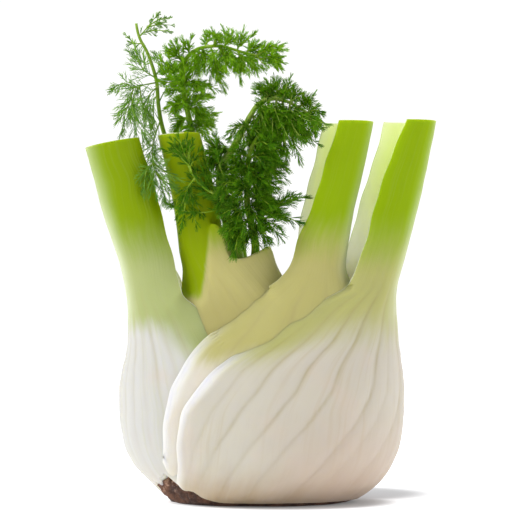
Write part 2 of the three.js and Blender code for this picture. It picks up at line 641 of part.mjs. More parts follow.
// One frond as a single solid. Leaflets and branches that would cross a neighbour are left off.
function frondSolid(frond, neighbours) {
  const stem = new THREE.CatmullRomCurve3(frond.stem.map((p) => new THREE.Vector3(...p)));
  const stemPoints = stem.getSpacedPoints(STEM_STEPS);
  const [thick, thin] = frond.radii;
  const radii = stemPoints.map((_, i) => THREE.MathUtils.lerp(thick, thin, i / STEM_STEPS));
  const pieces = [spike(stemPoints, radii, 6)];
  const clear = (solid) => neighbours.every((other) => other.intersect(solid).isEmpty());
  for (const branch of branchesOf(frond, stem)) {
    const points = branch.curve.getSpacedPoints(3);
    const body = spike(points, branch.leaf ? BRANCH_RADII : BARE_BRANCH_RADII, 3);
    if (!clear(body)) continue;
    pieces.push(body);
    for (const [root, tip] of leafletsOf(branch, frond.spacing)) {
      const leaflet = spike([root, tip], [LEAFLET_RADIUS], 3);
      if (clear(leaflet)) pieces.push(leaflet);
    }
  }
  return mainBody(Manifold.union(pieces));
}

const part = new THREE.Group();

function add(name, solid, color, roughness = 0.45) {
  const material = new THREE.MeshStandardMaterial({ color, roughness, metalness: 0 });
  const mesh = new THREE.Mesh(geometryOf(solid), material);
  mesh.name = name;
  part.add(mesh);
  return solid;
}

const trim = { grow: LAYER_GAP, fill: 2, ribs: 9 };
const plateRoom = rootPlate(CLEARANCE);
const innerStalk = leafSolid(INNER_LEFT_STALK);
const innerBody = closedSheath().subtract(openSpace()).subtract(mouthHollow());
const innerLeft = mainBody(innerBody.add(innerStalk).subtract(plateRoom));
const innerRoom = closedSheath({ grow: LAYER_GAP, steps: 12 })
  .subtract(above(RIM, -40, 40))
  .add(leafSolid(INNER_LEFT_STALK, { grow: CLEARANCE }));
const outerLeft = mainBody(leafSolid(OUTER_LEFT).subtract(innerRoom).subtract(plateRoom));
const outerLeftRoom = leafSolid(OUTER_LEFT, trim);
const innerRight = mainBody(
  leafSolid(INNER_RIGHT).subtract(innerRoom).subtract(outerLeftRoom).subtract(plateRoom),
);
const innerRightRoom = leafSolid(INNER_RIGHT, trim);
const outerRight = mainBody(
  leafSolid(OUTER_RIGHT).subtract(innerRoom).subtract(outerLeftRoom).subtract(innerRightRoom).subtract(plateRoom),
);

add("root_plate", rootPlate(), ROOT_BROWN, 0.85);
add("leaf_inner_left", innerLeft, STALK_GREEN);
add("leaf_outer_left", outerLeft, SHEATH_WHITE);
add("leaf_inner_right", innerRight, SHEATH_WHITE);
add("leaf_outer_right", outerRight, SHEATH_WHITE);

const standing = [innerLeft, outerLeft, innerRight, outerRight];
for (const frond of FRONDS) standing.push(add(frond.name, frondSolid(frond, standing), FROND_GREEN, 0.6));

export default part;
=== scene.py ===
"""A trimmed fennel bulb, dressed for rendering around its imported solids.

Each leaf, frond and the root plate is rebuilt finer than its solid, in the same place. Lengths are in
millimetres here and become metres when a mesh is made. +X is to the viewer's right and -Y faces the viewer.
"""

import math
from itertools import combinations

import bpy
import numpy as np
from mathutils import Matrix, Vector, noise
from mathutils.bvhtree import BVHTree


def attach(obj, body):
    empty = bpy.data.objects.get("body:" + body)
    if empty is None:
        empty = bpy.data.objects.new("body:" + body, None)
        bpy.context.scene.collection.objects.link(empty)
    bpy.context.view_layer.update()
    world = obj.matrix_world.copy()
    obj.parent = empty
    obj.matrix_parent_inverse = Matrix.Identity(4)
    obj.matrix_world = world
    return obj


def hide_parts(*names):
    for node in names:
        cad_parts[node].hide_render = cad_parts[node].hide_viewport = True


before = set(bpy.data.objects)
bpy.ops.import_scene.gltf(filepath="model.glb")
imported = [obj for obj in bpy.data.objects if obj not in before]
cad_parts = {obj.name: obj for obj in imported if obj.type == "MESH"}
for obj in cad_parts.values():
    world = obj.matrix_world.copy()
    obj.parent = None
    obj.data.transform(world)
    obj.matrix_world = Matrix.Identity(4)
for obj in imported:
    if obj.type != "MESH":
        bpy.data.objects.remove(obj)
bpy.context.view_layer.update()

MM = 0.001

# The camera, and the part of the object's middle plane that the photograph shows
EYE = Vector((0, -900, 70))
VIEW_MIDDLE = Vector((0.4, 0, 88.4))
VIEW_WIDTH = 193.9
SENSOR_WIDTH = 36
FRONT_LIGHT = 0.54  # brightness of the white room behind the camera
BACK_LIGHT = 1.05  # and behind the object
# The floor glows with painted light to stay white: how much in its painted shadows and how much away from
# them.
# A painted shadow is its middle and the two distances between which it fades out, in metres.
FLOOR_GLOW = (0.12, 0.85)
FLOOR_PAINTED_SHADOWS = [((0.025, 0.04, 0), 0.024, 0.053), ((0.009, 0, 0), 0.03, 0.049)]
FLOOR_REACH = 3.0
# Each lamp's place in metres, its size and its power, and the point that both shine at
LIGHTS = {"key": ((-0.7, -0.35, 1.0), 0.45, 6.4), "fill": ((0.75, -0.8, 0.5), 0.8, 1.6)}
LIT_POINT = (0, 0, 0.07)

# Leaves
MARGIN_THICKNESS = 1.1
# The heights between which a margin melts into the leaf beneath, between its clear edge and its free stalk.
FLUSH_HEIGHTS = {
    "outer_right": (45, 60, 68, 84),
    "inner_right": (50, 67, 70, 92),
    "outer_left": (48, 60, 72, 92),
}
FLUSH_DEPTH = 1.2  # how far it dips in there
FLUSH_POWER = 1.6  # how hollow the dip is
FLUSH_THICKNESS = 1.8
LEAST_THICKNESS = 0.3
WING_THINNING = 0.6  # share of the thickness that the thin wings at the stalks lack
WING_HEIGHTS = (80, 95)
LAYER_GAP = 0.15  # between a leaf and what lies under it
LEAST_ROOM = 0.9  # that a groove leaves under a leaf's outer side
HIGHEST_SWELL = 0.6  # over the plain outer curve
DROOP_WIDTH = (4.5, 24.0)  # the strip that bends down onto the leaf beneath, at a clear and at a flush edge
DROOP_LIMIT = 5.2
# The painted highlight along a clear margin, where its rolled edge would catch the light: its width, the
# heights over which it widens and those over which it fades out
MARGIN_HIGHLIGHT_WIDTH = (3.4, 7.0)  # the pale rolled strip along a clear edge, low down and higher up
MARGIN_HIGHLIGHT_HEIGHTS = (28, 44)
MARGIN_HIGHLIGHT_FADE = (64, 74)
CALM_WIDTH = (4, 16)  # the strip along a clear and along a flush edge that ribs and swellings stay out of
SWELLINGS = ((15, 0.45), (4.5, 0.12))  # the broad and the small ones: size and height
RAGGED = 0.35  # how far the margins wander from their smooth line
FREE_ROOM = (5.0, 9.0)  # room under a leaf over which it stops lying on the one beneath
INNER_COLUMNS = 52
COLUMN_RATIO = 4  # outer columns to each inner one
FEW = slice(None, None, COLUMN_RATIO)  # the outer columns that an inner one stands behind
CROWDING = 0.32  # of the columns towards the margins
LIP_POINTS = 4
LIP_REACH = 0.8
CUT_ROWS = 4
CUT_RELIEF = 0.12
ROW_STEP = 1.0
STALK_ROW_STEP = 2.0
STALK_FROM = 90.0
LEAF_HALF_WIDTH = 55  # what one unit of s stands for in the pattern of a leaf's fibres
LEAN = (84, 120)  # heights between which a stalk's sections start to lean with it
FAR = 99.0  # stands for a distance to something that isn't there
PAST_EDGE = 40.0  # is added to the distance to what ends before there

# Each row is one level section: z, out, rx, ry, front, back, thick, y. "out" is the furthest reach on the
# leaf's own side, rx and ry are the radii of its outer curve, and "front" and "back" are where its two
# margins lie.
OUTER_RIGHT = [
    (1.2, 35.5, 35.5, 29, -28, -24, 5, 0),
    (4, 40, 40, 32.5, -29.5, -26, 6, 0),
    (8, 44.6, 44.6, 35.5, -30.2, -28, 6.5, 0),
    (14, 48.6, 48.6, 38, -30.3, -28, 6.5, 0),
    (22, 51.4, 51.4, 39.5, -30.2, -27, 6.5, 0),
    (32, 52.8, 52.8, 40, -28.8, -24, 6.5, 0),
    (40, 52.8, 52.8, 39.5, -25, -18, 6.5, 0),
    (48, 52.2, 52.2, 38, -18.6, -10, 6.5, 0),
    (54, 51.4, 51, 36, -10.6, -3, 6.5, 0),
    (60, 50.7, 48, 33, 0.2, 5, 6.5, 0),
    (66, 50.2, 43, 29.5, 9, 13, 6.5, 0),
    (71, 50, 36, 26, 16.5, 19.5, 6, 0),
    (75.6, 50.1, 27, 21, 25.5, 25, 5.6, 0.3),
    (79, 50.5, 20, 16.5, 31.2, 27.5, 5.1, 0.5),
    (85, 51.9, 14, 12.5, 34.4, 29, 4.6, 1),
    (96, 54.9, 12, 10.5, 38.9, 32.8, 4.3, 1.5),
    (111, 59, 11.5, 10, 42.4, 37.3, 4.1, 2),
    (140.8, 65.3, 10.5, 9, 53.7, 46.2, 3.7, 2),
]
INNER_RIGHT = [
    (1.2, 32, 34, 26, -26, -20, 5, 0),
    (4, 36, 38.5, 29.5, -30.5, -24, 5.5, 0),
    (8, 40, 42.5, 32.3, -34, -28, 5.5, 0),
    (14, 43.5, 46, 34.6, -35.6, -30, 5.5, 0),
    (22, 46, 49, 36, -35.3, -29.5, 5.5, 0),
    (32, 47.2, 50, 36.6, -35, -28, 5.5, 0),
    (41, 47.2, 49.5, 36, -33.2, -24, 5.5, 0),
    (50, 46.3, 48, 34, -28.8, -17, 5.5, 0),
    (59, 44.8, 45, 30.8, -21.9, -8, 5.5, 0),
    (66, 43, 39.5, 27, -14.3, -1, 5.5, 0),
    (72, 40, 32.5, 24, -8.4, 4, 5.3, 0),
    (77, 36, 25, 21.5, -1, 8, 5, 0),
    (82, 32.7, 18, 18, 6.9, 11.5, 4.8, -0.5),
    (87, 31.5, 13.5, 14.5, 10.9, 12.8, 4.6, -1),
    (96, 32.5, 11.2, 11.2, 13.6, 13.4, 4.4, -1.5),
    (110, 35.2, 10.5, 10, 19.2, 16, 4.2, -2),
    (140.2, 41.6, 9.8, 9, 28.8, 23.4, 3.8, -2),
]
OUTER_LEFT = [
    (1.2, 33.5, 33.5, 26.5, -4, -6, 5.5, 0),
    (4, 37.4, 37, 29, -4.5, -7, 6, 0),
    (8, 41.6, 40, 31.3, -5, -8, 6, 0),
    (14, 47, 45, 32.6, -5, -8, 6, 0),
    (22, 50.9, 48.5, 33.7, -5, -8, 6.5, 0),
    (32, 52.4, 50, 33.6, -5, -8, 7, 0),
    (40, 52.5, 49.6, 32.4, -2, -6, 7, 0),
    (48, 51.6, 48.5, 30.6, 4, -2, 7, 0),
    (55, 50.1, 46, 28.4, 10, 4, 7, 0),
    (61, 49.4, 42, 25.3, 16, 12, 6.5, 0),
    (66, 49.3, 37, 23, 19.4, 18, 6, 0),
    (71, 49.5, 30, 20.5, 23.4, 23, 5.5, 0),
    (76, 49.9, 21, 17, 28.7, 27.5, 5, 0),
    (84, 51.4, 13.5, 13, 31, 31, 4.6, -0.5),
    (94, 54.2, 12, 10.5, 33.6, 36.5, 4.4, -1),
    (108, 58.4, 11, 10, 37.4, 42, 4.2, -1.5),
    (132.4, 64.9, 10.2, 9.3, 45, 50.4, 3.9, -2),
]
INNER_LEFT_STALK = [
    (70, 31, 13, 11, 10, 12, 5, 0),
    (78, 29.6, 11, 10.2, 9.5, 11, 5, 0),
    (85, 29, 10, 9.6, 9.8, 11.5, 4.4, 0),
    (92, 30.2, 9.9, 9.4, 11.2, 13, 4.2, 0.3),
    (101, 31.2, 9.5, 9.1, 14.2, 16.5, 4, 0.6),
    (114, 33.2, 9, 8.7, 16.8, 20, 3.8, 1),
    (136, 38.2, 8.2, 8, 22.6, 27, 3.5, 1),
]
# Each wrapping leaf's rows, its side (1 is to the right), how far its stalk's sections tilt, its fine ribs
# and its seed, from the innermost one to the outermost
WRAPPING_LEAVES = {
    "outer_left": (OUTER_LEFT, -1, 0.19, 26, 1.0),
    "inner_right": (INNER_RIGHT, 1, 0, 30, 2.0),
    "outer_right": (OUTER_RIGHT, 1, 0, 34, 3.0),
}
# The grooves between each leaf's broad ribs: the place across the leaf, -1 to 1, and the depth.
GROOVES = {
    "outer_right": [
        (-0.88, 0.6), (-0.78, 0.9), (-0.65, 1.0), (-0.52, 1.1), (-0.34, 1.0), (-0.25, 0.5), (-0.12, 0.7),
        (0.04, 0.6), (0.2, 0.8), (0.36, 0.7), (0.54, 0.9), (0.72, 0.8),
    ],
    "inner_right": [
        (-0.84, 0.6), (-0.68, 0.8), (-0.5, 0.9), (-0.33, 0.8), (-0.16, 0.9), (0.04, 0.8), (0.22, 0.8),
        (0.42, 0.9), (0.6, 0.8), (0.78, 0.7),
    ],
    "outer_left": [
        (-0.86, 0.3), (-0.74, 0.5), (-0.62, 0.3), (-0.5, 0.5), (-0.4, 0.3), (-0.3, 0.5), (-0.2, 0.4),
        (-0.1, 0.5), (0.02, 0.4), (0.16, 0.6), (0.3, 0.5), (0.46, 0.7), (0.62, 0.6), (0.8, 0.6),
    ],
}
GROOVE_LEAN = 0.2  # how far the grooves of the leaves at the right run to the front on their way down
GROOVE_LEAN_HEIGHTS = (4, 45)
GROOVE_FADE = (66, 84)  # heights over which the grooves get narrow and shallow
GROOVE_WIDTH = (2.6, 1.1)  # of a groove's hollow below them and above them
GROOVE_HOLLOW = 0.42  # share of the depth in the hollow, and in the narrow line at its bottom
GROOVE_LINE = 0.14
GROOVE_LINE_WIDTH = 0.55
CREASE_WIDTH = 0.8  # of the darker strip in a groove
STALK_GROOVE = 0.12  # share of the depth that is left on the stalk
FINE_RIB = 0.05
# Where each leaf's foot is torn off higher up: the place across the leaf, the tear's width and its height.
TEARS = {"outer_right": (-1, 0.1, 7), "inner_right": (-1, 0.3, 12), "outer_left": (-0.36, 0.25, 8.4)}
TEAR_TOP = 20  # height below which the rows make room for it
TEAR_TEETH = ((31, 0.18), (73, 0.12))  # how often it goes up and down, and how far as a share of its height
FOOT_RISE = 0.2  # of each leaf's foot over its solid's
# The innermost sheath is closed all the way round: z, middle x, rx, ry.
CLOSED_SHEATH = [
    (1.2, 0, 26, 20),
    (8, -1, 34, 26),
    (14, -1.5, 38.5, 28),
    (22, -2, 41.5, 29),
    (32, -2, 43.5, 29.2),
    (40, -2, 43, 28.3),
    (50, -2, 41, 26),
    (58, -2.5, 39, 23.4),
    (66, -3.5, 35.5, 20.8),
    (72, -6, 29, 18.6),
    (77, -9, 23.5, 16.6),
    (82, -11, 19.8, 15),
    (88, -12.3, 17.8, 13.6),
    (94, -13, 17, 12.6),
    (104, -13.5, 16.5, 12),
]
# Its rim, seen from the front and from the back: x, z.
RIM = [
    (-45, 77), (-27, 75.5), (-21.4, 84), (-20.8, 99.5), (-18.6, 102.4), (-15.6, 101.6), (-13.4, 97),
    (-11.2, 90), (-8, 89.6), (3, 94.4), (12, 98),
]
BACK_RIM = [(-45, 77), (-27, 75.5), (-21.4, 82), (-17, 86.5), (-6, 86.8), (3, 90), (12, 93)]
MOUTH_WALL = 3.4
MOUTH_WALL_FROM = 88.5
MOUTH_MIDDLE = -8
MOUTH_RADII = (9.2, 7.8)
MOUTH_FLOOR = 84
MOUTH_ROUNDING = 1.5
MOUTH_THINNING = (-9, 0)  # distances from the rim between which the wall gets as thin as a margin
MOUTH_MARGIN = MARGIN_THICKNESS + 0.6
FRONT_TO_BACK = (-3, 2)  # where the rim goes over from its front line to its back line
# The middle line that its fibres and ribs run round: z, x.
INNERMOST_AXIS = [(1.2, 0), (60, -3), (78, -12), (94, -22), (114, -25), (136, -30.5)]
INNERMOST_RIBS = 15
INNERMOST_RELIEF = 0.16
INNERMOST_GROOVE = 0.25
INNERMOST_HALF_WIDTH = LEAF_HALF_WIDTH * 0.45
# The grid that its surface is found on: two corners and the size of a cell
GRID_LOW = np.array((-47.0, -31.0, 0.2))
GRID_HIGH = np.array((43.0, 31.0, 137.4))
CELL = np.array((0.7, 0.7, 0.9))
CUT_RIM = 0.45  # how far below the top of its stalk the cut face reaches
STALK_LEAN = 0.06
SHOULDER_ROUNDING = 7.0  # of the rim's step beside the stalk
SHOULDER_SIDE = (17, 21)
BLEND = 4.0  # radius over which its stalk and its sheath flow together
RIM_ROUNDING = 0.7
RIM_STEPS = 200
# The green of its stalk runs down beside the shoulder: how far, left of which x and above which heights.
TONGUE_RISE = 24
TONGUE_SIDE = (18.6, 22.8)
TONGUE_HEIGHTS = (68, 78)

# The root plate: height and share of its radii
ROOT_PLATE = [(0, 0.93), (1, 1), (3.2, 0.99), (6, 0.7), (8.5, 0.32)]
ROOT_RADII = (33.5, 26.5)
ROOT_RIPPLES = [(5, 0.5), (9, 0.35)]  # how many round the plate, and how far they reach
SCAR_ANGLE = 200
SCAR_WIDTHS = (16, 38)  # to the back and to the front
SCAR_REACH = 6.4
SCAR_RISE = 6.2
ROOT_COLUMNS = 420
ROOT_FOLD = 3.4  # height from which the plate narrows
ROOT_MARGIN = 1.1  # of the leaves over it
ROOT_SQUASH = (1, 1, 0.6)  # of its roughness

# Fronds, with the stems and side branches of their solids: the stem's points, its radius at root and tip, and
# the branches. A branch is the length of its leaflets and then its points, and it grows from what lies
# nearest to the first of them. It is bare where the length is 0.
FRONDS = {
    "frond_tall": (
        [
        (-10.2, 4.2, 85.5), (-11.5, 11, 94.5), (-17.5, 13, 104), (-27, 13.5, 116), (-36, 13.5, 136),
        (-37.5, 11.5, 141.5), (-38.5, 10, 148.5), (-39, 8.5, 156), (-40.5, 7.5, 161.5),
        (-42.5, 6.5, 167), (-45, 6, 171.5), (-46, 5.5, 174.5), (-46.5, 5, 177.5),
        ],
        (1.3, 0.5),
        [
        (1.6, (-45, 6, 172.5), (-43, 4, 175), (-38.5, 3, 180.5)),
        (1.6, (-42.5, 4, 175.5), (-39, 2, 178), (-35, 1, 179)),
        (1.6, (-42, 4, 176), (-38.5, 5, 177), (-34, 6, 177)),
        (1.6, (-44, 5, 174), (-39, 2, 174.5), (-34, 0, 174)),
        (1.8, (-45, 6, 170), (-48, 7, 170)),
        (1.4, (-47.5, 7, 170), (-50, 8, 173)),
        (4.2, (-40, 8.5, 157), (-43.5, 5, 160), (-46, 3, 164.5), (-46.5, 2, 166.5)),
        (3.6, (-41, 7.5, 163), (-43.5, 11, 163), (-45.5, 13, 166)),
        (3.6, (-39.5, 8.5, 156), (-43.5, 5, 154.5), (-47, 1, 153), (-50.5, -2, 154.5), (-53.5, -4, 153)),
        (4.6, (-47, 1, 153), (-48.5, 0, 148.5), (-50.5, 2, 143), (-51.5, 3, 138.5)),
        (4.6, (-45.5, 2, 153.5), (-47.5, -3, 146.5), (-46, -4, 140.5), (-43.5, -5, 136)),
        (4.6, (-45, 3, 154), (-44.5, 6, 148.5), (-42, 9, 142)),
        (4.6, (-39, 9, 154), (-41.5, 6, 151), (-42.5, 4, 146)),
        (4, (-38.5, 9.5, 151.5), (-40.5, 14, 148.5), (-40.5, 15, 144)),
        (3.4, (-39, 8.5, 157), (-36.5, 8, 156), (-33.5, 7, 155.5)),
        (3.2, (-39, 8, 158.5), (-37.5, 11, 161.5), (-39, 13, 165.5)),
        (0, (-38, 10, 148.5), (-35.5, 11, 153), (-33.5, 12, 150)),
        (4.4, (-37.5, 11.5, 142), (-40, 4, 133.5), (-40, -5, 127.5), (-39, -10.5, 122), (-36.5, -12, 117.5),
         (-35.5, -12.5, 113)),
        (4, (-39.5, -8, 124.5), (-36.5, -12, 122), (-33, -13, 120)),
        (3.6, (-39.5, -8, 124), (-42, -11, 121), (-42.5, -12, 116.5)),
        (3.4, (-38, -11, 121), (-35, -13.5, 117.5), (-33, -14, 116)),
        (3.4, (-39, -10.5, 122), (-39.5, -13, 119), (-38.5, -14, 114.5)),
        ],
    ),
    "frond_arching": (
        [
        (-6, 5, 85), (-8.5, 7.5, 97), (-16.5, 11.5, 111), (-23, 12, 127), (-27, 9, 143),
        (-28.5, 7, 150), (-29.5, 5.5, 157.5), (-28.5, 4.5, 163), (-25, 3.5, 167), (-20, 2.5, 168.5),
        (-14.5, 1, 168.5), (-8, -0.5, 166.5), (0.5, -1.5, 164.5), (9.5, -2.5, 164.5),
        ],
        (1.9, 0.25),
        [
        (4.2, (-28.5, 4.5, 162.5), (-32, 1, 165.5), (-34, -1, 167)),
        (4.2, (-29.5, 5.5, 158.5), (-33, 8, 162), (-34.5, 11, 165.5)),
        (4, (-29, 6, 155), (-33.5, 3, 157), (-36.5, 1, 159.5), (-37, 0, 162.5)),
        (4.2, (-29, 7, 151.5), (-31.5, 11, 153), (-33.5, 13, 152.5)),
        (4.2, (-28, 8, 147), (-31, 3, 147.5), (-33.5, 0, 145)),
        (4.2, (-27, 9, 143), (-30, 12, 142.5), (-31.5, 12.5, 139)),
        (4.2, (-29, 7, 152), (-28, -2, 156.5), (-28.5, -5, 161)),
        (4.2, (-27.5, 9, 144.5), (-28, 1, 148.5), (-26.5, -4, 152)),
        (4, (-29, 6, 154.5), (-25.5, 3, 154.5), (-21.5, 1, 154.5), (-19, 0, 153)),
        (4.2, (-28, 7.5, 149.5), (-24.5, 11, 149.5), (-21, 14, 150)),
        (4.2, (-27.5, 9, 145.5), (-23.5, 4, 145.5), (-20, 1, 143)),
        (4.2, (-27, 9.5, 141.5), (-23.5, 12, 141), (-19.5, 14, 140)),
        (4.2, (-26.5, 10, 140), (-23, 3, 138.5), (-20.5, -2, 134.5)),
        (3.6, (-26, 3.5, 166), (-28, 1, 168.5), (-28.5, 0, 170)),
        (3.6, (-20.5, 2.5, 168.5), (-20, 5, 171.5), (-20.5, 6, 173)),
        (3.6, (-17.5, 2, 169), (-16.5, -2, 171.5), (-18, -3, 172.5)),
        (3.6, (-13.5, 1, 168.5), (-11.5, 3, 171.5), (-12, 5, 174.5)),
        (3.6, (-9, 0, 167), (-7, -3, 170.5), (-6.5, -4, 173)),
        (4, (-5.5, -1, 166), (-2, 2, 168), (1, 4, 168.5)),
        (4, (-1.5, -1, 164.5), (2.5, -4, 166.5), (7.5, -5, 166.5)),
        (4.4, (-24.5, 3.5, 167), (-24.5, 7, 163), (-25.5, 9, 159.5)),
        (4.4, (-22, 3, 168), (-20.5, -1, 163.5), (-21.5, -4, 159.5)),
        (4.4, (-19, 2, 168.5), (-17, 5, 163), (-16.5, 7, 158.5), (-14.5, 8, 154.5)),
        (4.4, (-15.5, 1.5, 168.5), (-13.5, -3, 164), (-12.5, -6, 159.5)),
        (4.2, (-12, 0.5, 168), (-9.5, 3, 163), (-8, 4, 157.5)),
        (4.2, (-9, 0, 167), (-6.5, -4, 163), (-5, -7, 158.5)),
        (4, (-5.5, -1, 166), (-3.5, 2, 163), (-2, 4, 160)),
        (4, (-2, -1, 164.5), (1, -4, 162.5), (4, -6, 161.5)),
        (3.6, (2.5, -2, 164.5), (5, 1, 163), (7.5, 2, 162.5)),
        ],
    ),
    "frond_bushy": (
        [
        (-7.5, -0.5, 85.5), (-10.5, 2.5, 98), (-14.5, 1.5, 111), (-14.5, 0, 123.5), (-10.5, -1.5, 130),
        (-6.5, -2.5, 137.5), (-3.5, -3.5, 143), (-0.5, -4, 147), (4, -4.5, 148.5), (9.5, -5, 147.5),
        (15, -5.5, 144.5), (20.5, -6, 141.5),
        ],
        (2.5, 0.3),
        [
        (3.8, (0, -4, 147.5), (2, -1, 150), (0.5, 0, 152.5)),
        (3.8, (2, -4.5, 148.5), (3.5, -8, 151.5), (2.5, -10, 153.5)),
        (3.8, (5, -4.5, 148.5), (6, -1, 151.5), (5, 1, 154)),
        (3.8, (8, -5, 148), (9, -9, 151.5), (9.5, -10, 153.5)),
        (3.8, (10.5, -5, 147), (12, -2, 149.5), (13, -1, 151)),
        (3.8, (14, -5.5, 145.5), (16.5, -9, 147.5), (17, -10, 148.5)),
        (3.8, (17, -5.5, 143.5), (19, -3, 144.5), (21.5, -2, 143.5)),
        (4, (16, -5.5, 144.5), (18.5, -9, 141), (19.5, -10, 136)),
        (4.4, (13, -5, 146), (13.5, -1, 141.5), (16.5, 2, 137)),
        (4.4, (10.5, -5, 147), (10.5, -10, 141), (13.5, -12, 135), (16.5, -12, 132.5)),
        (4.4, (8, -5, 148), (9, 0, 141.5), (12, 3, 134), (14, 4, 127)),
        (4.4, (5.5, -4.5, 148.5), (6, -11, 142), (8.5, -13, 136.5), (10.5, -13, 132)),
        (4.4, (2.5, -4.5, 148.5), (3, 1, 143), (4.5, 4, 137.5), (7.5, 4, 131.5)),
        (4.4, (-0.5, -4, 147), (0.5, -10, 141.5), (2.5, -13, 136)),
        (4.4, (-3.5, -3.5, 143), (-1.5, 1, 138), (0.5, 3, 133)),
        (4.4, (-6.5, -2.5, 138), (-2.5, 4, 134.5), (2, 6, 130), (7, 5, 126)),
        (4.2, (-10.5, -1.5, 130), (-16, -4, 130.5), (-19, -5, 133)),
        (4.2, (-12.5, -1, 127), (-17.5, 3, 127), (-21, 5, 127)),
        (4, (-5, -3, 140), (-6, -8, 137), (-6.5, -10, 132.5)),
        ],
    ),
    "frond_low": (
        [
        (-3, -2.5, 85), (-2, -3.5, 94), (-3.5, -6, 102), (-5, -7, 109.5), (-5, -7.5, 117),
        (-5, -8, 123), (-3.5, -8, 130), (-0.5, -7.5, 135), (3.5, -7, 138.5),
        ],
        (1.7, 0.5),
        [
        (4.4, (-5, -8, 121.5), (0.5, -4, 124.5), (5, -2, 126), (8, -2, 124)),
        (4.4, (-5, -7.5, 118), (-0.5, -11, 119.5), (4, -13, 118)),
        (4.4, (-5, -7, 114), (-1, -3, 114.5), (2.5, -1, 112)),
        (4.4, (-4.5, -7, 109), (-0.5, -11, 109), (3.5, -12, 108)),
        (4.4, (-4, -6.5, 106), (1, -5, 104.5), (8, -7, 105), (13.5, -9, 103)),
        (4.2, (-3.5, -6, 102.5), (0, -10, 100), (2.5, -11, 97.5)),
        (4.4, (-5, -7.5, 119.5), (-9, -4, 123), (-13, -2, 123), (-14.5, -1, 120)),
        (4.4, (-5, -7.5, 116), (-9.5, -12, 116.5), (-13, -13, 114.5), (-15, -13, 110)),
        (4.4, (-5, -7, 111.5), (-8.5, -3, 111), (-12, -1, 108.5), (-14, 0, 105.5)),
        (4.4, (-4.5, -7, 107.5), (-8, -12, 106), (-10.5, -14, 102), (-11.5, -14.5, 99)),
        (4.4, (-3.5, -6, 104), (-6.5, -11, 101.5), (-8.5, -15.5, 96.5), (-9.5, -17, 92)),
        (4.2, (-3, -5.5, 100.5), (-5, -10, 97.5), (-6, -15, 94)),
        (4.4, (-4, -8, 127), (-8, -12, 127.5), (-10.5, -14, 125.5)),
        (4.4, (-4.5, -8, 125), (-2, -13, 121), (1.5, -15, 116.5)),
        (4.4, (-2.5, -8, 131.5), (2, -11, 131.5), (6.5, -12, 129)),
        (4.4, (-5, -7.5, 122), (-7, -13, 124), (-8, -17, 122)),
        (4.4, (-5, -7.5, 119), (-3, -13, 120), (0, -17, 118)),
        (4.4, (-5, -7, 114), (-6, -13, 115), (-8, -17, 112)),
        (4.4, (-5, -7, 112), (-1, -12, 112), (3, -16, 109)),
        (4.4, (-4.5, -7, 108), (-3, -13, 107), (-1, -17, 103)),
        (4.4, (-4.5, -8, 126), (0, -11, 128), (4, -13, 126)),
        (3.6, (-8, -6, 111), (-14.5, -12, 112), (-20.5, -13, 115), (-25, -12.5, 120), (-27.5, -12, 125.5)),
        (3, (-27.5, -12, 124.5), (-27, -11.5, 129), (-27, -11, 133)),
        (3, (-27.5, -12, 124.5), (-29.5, -11.5, 129), (-32, -11, 132)),
        (3.2, (-24, -12.5, 119), (-26.5, -12, 115), (-28, -12, 107.5), (-29, -12, 101.5)),
        ],
    ),
}
# How each frond is leaved: the length of its leaflets over what the branch gives, their spacing, how far they
# hang, the sister branches to each branch, the levels of forks, and the branches' radius.
HABITS = {
    "frond_tall": (1.6, 0.95, 0.35, 0, 2, 0.32),
    "frond_arching": (1.0, 0.65, 0.12, 5, 1, 0.4),
    "frond_bushy": (1.05, 0.7, 0.0, 7, 1, 0.5),
    "frond_low": (1.2, 0.85, 0.1, 7, 1, 0.5),
}
BARE_BRANCH_RADIUS = 0.3
BRANCH_TIP = 0.35  # share of a branch's radius that is left at its tip
STEM_SIDES = 8
BRANCH_SIDES = 5
THREAD_SIDES = 3
THREAD_RADIUS = (0.145, 0.13, 0.115)  # at each level of forks
THREAD_TAPER = 0.55
THREAD_POINTS = (4, 2, 2)
STEM_POINTS = 60
BRANCH_POINTS = 25
GROWN_POINTS = 121  # on a stem, where its branches look for their roots
FIRST_LEAFLET = 0.08  # its place, as a share of the branch
LEAFLET_SPREAD = (0.35, 0.85)
SISTER_START = (0.05, 0.35)
SISTER_LEAN = (0.25, 0.75)
SISTER_SIZE = (0.55, 1.0)
SISTER_RADIUS = 0.6  # share of the branch's own
SISTER_LEAFLETS = 0.9
FORK_LEAN = (0.3, 0.65)
LENGTHS = (0.7, 1.15)  # between which a leaflet's or a side thread's length is drawn, as a share
# Where a thread forks, and the length of the side thread there as a share of its own, at each level
FORKS = (
    ((0.2, 0.72), (0.42, 0.62), (0.68, 0.42)),
    ((0.36, 0.52), (0.66, 0.44)),
)
GOLDEN_ANGLE = math.radians(137.5)
LEAVES_TOP = 146
# How near a strand may come to a leaf, and how far off a leaf is looked for, in metres
CLEARANCE = 0.0002
SEARCH_REACH = 0.008


def smoothstep(x, low, high):
    t = np.clip((x - low) / (high - low), 0, 1)
    return t * t * (3 - 2 * t)


def lerp(a, b, t):
    return a + (b - a) * t


def smooth(xs, ys):
    """A smooth curve through the points (xs, ys) that never overshoots them."""
    xs = np.array(xs, float)
    ys = np.array(ys, float)
    slopes = np.diff(ys) / np.diff(xs)
    before, after = slopes[:-1], slopes[1:]
    same_way = before * after > 0
    total = np.where(same_way, before + after, 1)
    tangents = np.concatenate((slopes[:1], np.where(same_way, 2 * before * after / total, 0), slopes[-1:]))

    def curve(x):
        i = np.clip(np.searchsorted(xs, x) - 1, 0, len(xs) - 2)
        h = xs[i + 1] - xs[i]
        t = np.clip((x - xs[i]) / h, 0, 1)
        return (
            ys[i] * (1 + 2 * t) * (1 - t) ** 2
            + h * tangents[i] * t * (1 - t) ** 2
            + ys[i + 1] * t * t * (3 - 2 * t)
            + h * tangents[i + 1] * t * t * (t - 1)
        )

    return curve


